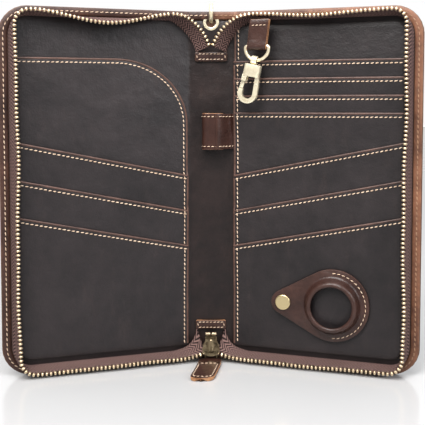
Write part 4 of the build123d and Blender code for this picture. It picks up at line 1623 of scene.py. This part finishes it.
# ------------------------------------------------------------------------------------------- tracker holder
@dataclass
class TrackerHolder:
    """The keyhole-shaped holder for a round tracker, with its snapped tab."""

    form: Form
    middle: float = 64.7
    snap: float = 34.0
    height: float = 40.2
    radius: float = 22.0
    tab_radius: float = 7.3
    window: float = 12.4
    cup: float = 16.7
    base_face: float = 6.45
    flange_face: float = 7.7
    cup_top: float = 14.3

    def keyhole(self, name: str, radius: float, tab_radius: float, face: float) -> Piece:
        """Cuts a keyhole-shaped sheet: the hull of a large and a small disc."""
        centre, small = self.form.half_spine + self.middle, self.form.half_spine + self.snap
        discs = []
        for x, r in ((centre, radius), (small, tab_radius)):
            bpy.ops.object.select_all(action="DESELECT")
            bpy.ops.mesh.primitive_circle_add(
                vertices=72, radius=r, fill_type="NGON", location=(x, self.height, face)
            )
            bpy.ops.object.transform_apply(location=True, rotation=True, scale=True)
            discs.append(bpy.context.object)
        sheet = join(discs, name)
        points = sorted({(round(v.co.x, 4), round(v.co.y, 4)) for v in sheet.data.vertices})
        bpy.data.objects.remove(sheet)
        hull: list[Point2] = []
        for half in (points, points[::-1]):
            start = len(hull)
            for p in half:
                while len(hull) > start + 1:
                    (ax, ay), (bx, by) = hull[-2], hull[-1]
                    if (bx - ax) * (p[1] - ay) - (by - ay) * (p[0] - ax) > 0:
                        break
                    hull.pop()
                hull.append(p)
            hull.pop()
        mesh = bpy.data.meshes.new(name)
        mesh.from_pydata([(x, y, face) for x, y in hull], [], [list(range(len(hull)))])
        made = bpy.data.objects.new(name, mesh)
        bpy.context.scene.collection.objects.link(made)
        only(made)
        bpy.ops.object.mode_set(mode="EDIT")
        for x in np.arange(small - tab_radius + 1.5, centre + radius, 3.0):
            bpy.ops.mesh.select_all(action="SELECT")
            bpy.ops.mesh.bisect(plane_co=(float(x), 0, 0), plane_no=(1, 0, 0))
        bpy.ops.object.mode_set(mode="OBJECT")
        return made

    def build_leather(self) -> None:
        """Cuts the back and the front with its tab."""
        form = self.form
        hinge = form.half_spine + self.middle - 17.5
        back = self.keyhole("holder_back_hide", self.radius, self.tab_radius, self.base_face)
        Finish.HOLDER.dress(back)
        thicken(back, 1.0, 0.25)
        form.put(back, "right_cover")
        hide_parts("tracker_holder_back")
        front = self.keyhole("holder_front_hide", self.radius, self.tab_radius, self.flange_face)
        Finish.HOLDER.dress(front)
        thicken(front, 1.2, 0.3, Finish.TURNED)
        write(front, form.fold(read(front)) * MM)
        smooth(front)
        bend = np.array([[hinge + off, self.height, self.flange_face] for off in (1.5, -1.5)])
        ends = form.fold(bend) * MM
        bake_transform(front)
        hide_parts("tracker_holder_front", "tracker_holder_tab")

    def build_cup(self) -> None:
        """Spins the moulded cup, its turned window edge and the backing that shows through the window."""
        form = self.form
        centre = form.half_spine + self.middle
        face, top = self.flange_face, self.cup_top
        profile = [
            (self.cup + 1.3, face - 0.05), (self.cup + 0.45, face + 0.25), (self.cup - 0.1, face + 1.2)
        ]
        profile += [(self.cup - 0.6, top - 3.2), (self.cup - 1.1, top - 1.4), (self.cup - 2.0, top - 0.35)]
        profile += [(self.cup - 3.1, top), (self.window + 0.4, top - 0.35), (self.window, top - 1.0)]
        profile += [
            (self.window + 0.1, top - 1.7), (self.window + 1.6, top - 2.0), (self.cup - 2.4, top - 4.0)
        ]
        profile += [(self.cup - 1.6, face - 0.3)]
        cup = self.spun("holder_cup_hide", profile, centre)
        Finish.HOLDER.dress(cup)
        form.put(cup, "right_cover")
        disc_profile = [
            (0.0, face + 0.9), (9.0, face + 0.8), (self.cup - 3.0, face + 0.35), (self.cup - 1.5, face)
        ]
        backing = self.spun("holder_backing_hide", disc_profile, centre)
        Finish.POCKET.dress(backing)
        form.put(backing, "right_cover")

    def spun(self, name: str, profile: list[Point2], centre: float) -> Piece:
        """Spins a profile of radius and depth into a moulded shape round the cup's middle."""
        mesh = bpy.data.meshes.new(name)
        mesh.from_pydata([(r, 0, z) for r, z in profile], [(i, i + 1) for i in range(len(profile) - 1)], [])
        made = bpy.data.objects.new(name, mesh)
        bpy.context.scene.collection.objects.link(made)
        only(made)
        bpy.ops.object.mode_set(mode="EDIT")
        bpy.ops.mesh.select_all(action="SELECT")
        bpy.ops.mesh.spin(steps=72, angle=2 * math.pi, center=(0, 0, 0), axis=(0, 0, 1))
        bpy.ops.mesh.select_all(action="SELECT")
        bpy.ops.mesh.remove_doubles(threshold=0.01)
        bpy.ops.mesh.normals_make_consistent(inside=False)
        bpy.ops.object.mode_set(mode="OBJECT")
        upward = sum(p.normal.z * p.area for p in made.data.polygons)
        if upward < 0:
            flip(made)
        write(made, read(made) + (centre, self.height, 0))
        return made

    def build_stitches(self) -> None:
        """Sews the holder to the panel along the right half of its edge."""
        centre = self.form.half_spine + self.middle
        around = [
            (centre + 19.9 * math.cos(a), self.height + 19.9 * math.sin(a), self.flange_face + 0.1)
            for a in np.linspace(math.radians(-92), math.radians(92), 40)
        ]
        sewn = stitches("holder_stitches", [Line.flat(around)], 2.9, 2.1, 0.6)
        Finish.CREAM.dress(sewn)
        self.form.put(sewn, "right_cover")

    def build_snap(self) -> None:
        """Rounds the snap's cap and its stud."""
        cap = from_cad("snap_cap", "snap_cap_metal", 0.5, 3)
        Finish.SNAP.dress(cap)
        self.form.put_world(cap, "tracker_tab")
        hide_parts("snap_cap")
        stud = from_cad("snap_stud", "snap_stud_metal", 0.1)
        Finish.SNAP.dress(stud)
        self.form.put_world(stud, "right_cover")
        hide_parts("snap_stud")

    def build(self) -> None:
        """Builds the tracker holder."""
        self.build_leather()
        self.build_cup()
        self.build_stitches()
        self.build_snap()
        logger.info("tracker holder")


# ------------------------------------------------------------------------------------------- studio
@dataclass
class Studio:
    """A pale floor, soft light and the camera in front of the open organizer."""

    form: Form
    eye_height: float = 160.5
    distance: float = 503.6
    focal: float = 803.9
    image: float = 425.0
    horizon: float = 105.6
    shift: float = 0.14
    sideways: float = 0.0035
    front_glow: float = 0.32
    back_glow: float = 1.0

    def build_floor(self) -> None:
        """Lays the floor."""
        bpy.ops.object.select_all(action="DESELECT")
        bpy.ops.mesh.primitive_plane_add(size=12)
        floor = bpy.context.object
        floor.name = "floor"
        board = NodeBoard("pale_floor")
        board.drive("Roughness", board.spread(board.noise(60.0, 3), 0.12, 0.18))
        board.set(Base_Color=(0.45, 0.45, 0.455, 1), Specular_IOR_Level=0.5)
        floor.data.materials.append(board.material)

    def light(self, name: str, place: Point3, aim: Point3, size: float, power: float, tint: Colour) -> None:
        """Hangs one soft lamp.

        Args:
            name: the lamp's name.
            place: where it hangs, in metres.
            aim: the point that it looks at.
            size: its side, in metres.
            power: its power in watts.
            tint: its colour.
        """
        data = bpy.data.lights.new(name, "AREA")
        data.energy, data.size, data.color = power, size, tint
        lamp = bpy.data.objects.new(name, data)
        lamp.location = place
        lamp.rotation_euler = (Vector(aim) - Vector(place)).to_track_quat("-Z", "Y").to_euler()
        bpy.context.scene.collection.objects.link(lamp)

    def build_lights(self) -> None:
        """Sets the pale surroundings and the soft lamps."""
        world = bpy.data.worlds.new("studio")
        world.use_nodes = True
        nodes, links = world.node_tree.nodes, world.node_tree.links
        heading = nodes.new("ShaderNodeSeparateXYZ")
        links.new(nodes.new("ShaderNodeTexCoord").outputs["Generated"], heading.inputs[0])
        dimmer = nodes.new("ShaderNodeMapRange")
        dimmer.inputs["From Min"].default_value, dimmer.inputs["From Max"].default_value = -0.5, 0.3
        dimmer.inputs["To Min"].default_value = self.front_glow
        dimmer.inputs["To Max"].default_value = self.back_glow
        links.new(heading.outputs["Y"], dimmer.inputs["Value"])
        links.new(dimmer.outputs["Result"], nodes["Background"].inputs["Strength"])
        nodes["Background"].inputs["Color"].default_value = (1.0, 1.0, 1.0, 1)
        bpy.context.scene.world = world
        bpy.context.scene.view_settings.view_transform = "Standard"
        aim = (0, 0, 0.11)
        self.light("key_lamp", (-0.45, -0.85, 0.95), aim, 0.6, 16, (1, 0.98, 0.95))
        self.light("fill_lamp", (0.85, -0.75, 0.6), aim, 0.5, 8, (0.97, 0.98, 1))
        self.light("top_lamp", (0.0, -0.30, 0.62), (0, 0, 0.21), 0.4, 5, (1, 1, 1))

    def build_camera(self) -> None:
        """Places the camera at the open side, a little below the covers' top and looking slightly down."""
        data = bpy.data.cameras.new("camera")
        data.sensor_width = 36
        data.lens = self.focal / self.image * 36
        data.shift_y = -self.shift
        data.shift_x = self.sideways
        camera = bpy.data.objects.new("camera", data)
        pitch = math.atan((self.horizon - self.shift * self.image) / self.focal)
        plane = self.form.back - 4.5
        camera.location = (0, (plane - self.distance) * MM, self.eye_height * MM)
        camera.rotation_euler = (math.pi / 2 - pitch, 0, 0)
        bpy.context.scene.collection.objects.link(camera)
        bpy.context.scene.camera = camera

    def build(self) -> None:
        """Builds the studio."""
        self.build_floor()
        self.build_lights()
        self.build_camera()
        logger.info("studio")


def dress_hidden_nodes() -> None:
    """Gives the stiffener boards inside the covers their finish."""
    board = NodeBoard("grey_board")
    fibres = board.noise(1.5, 5, 0.7)
    board.drive("Base Color", board.ramp(fibres, [(0.35, (0.20, 0.18, 0.16)), (0.65, (0.34, 0.31, 0.27))]))
    board.drive("Normal", board.bump(fibres, 0.05))
    board.set(Roughness=0.9)
    for side in Side:
        node = frame["nodes"][f"{side.label}_stiffener_board"]
        node.data.materials.clear()
        node.data.materials.append(board.material)


def main() -> None:
    """Builds the organizer's looks piece by piece."""
    logging.basicConfig(level=logging.INFO, format="%(message)s")
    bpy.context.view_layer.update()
    form = Form.measured()
    for side in Side:
        CoverShell(form, side).build()
        PocketSide(form, side).build()
        ZipSide(form, side).build()
    SpineFittings(form).build()
    SliderAndPuller(form).build()
    KeyStrap(form).build()
    TrackerHolder(form).build()
    dress_hidden_nodes()
    Studio(form).build()


if __name__ == "__main__":
    main()
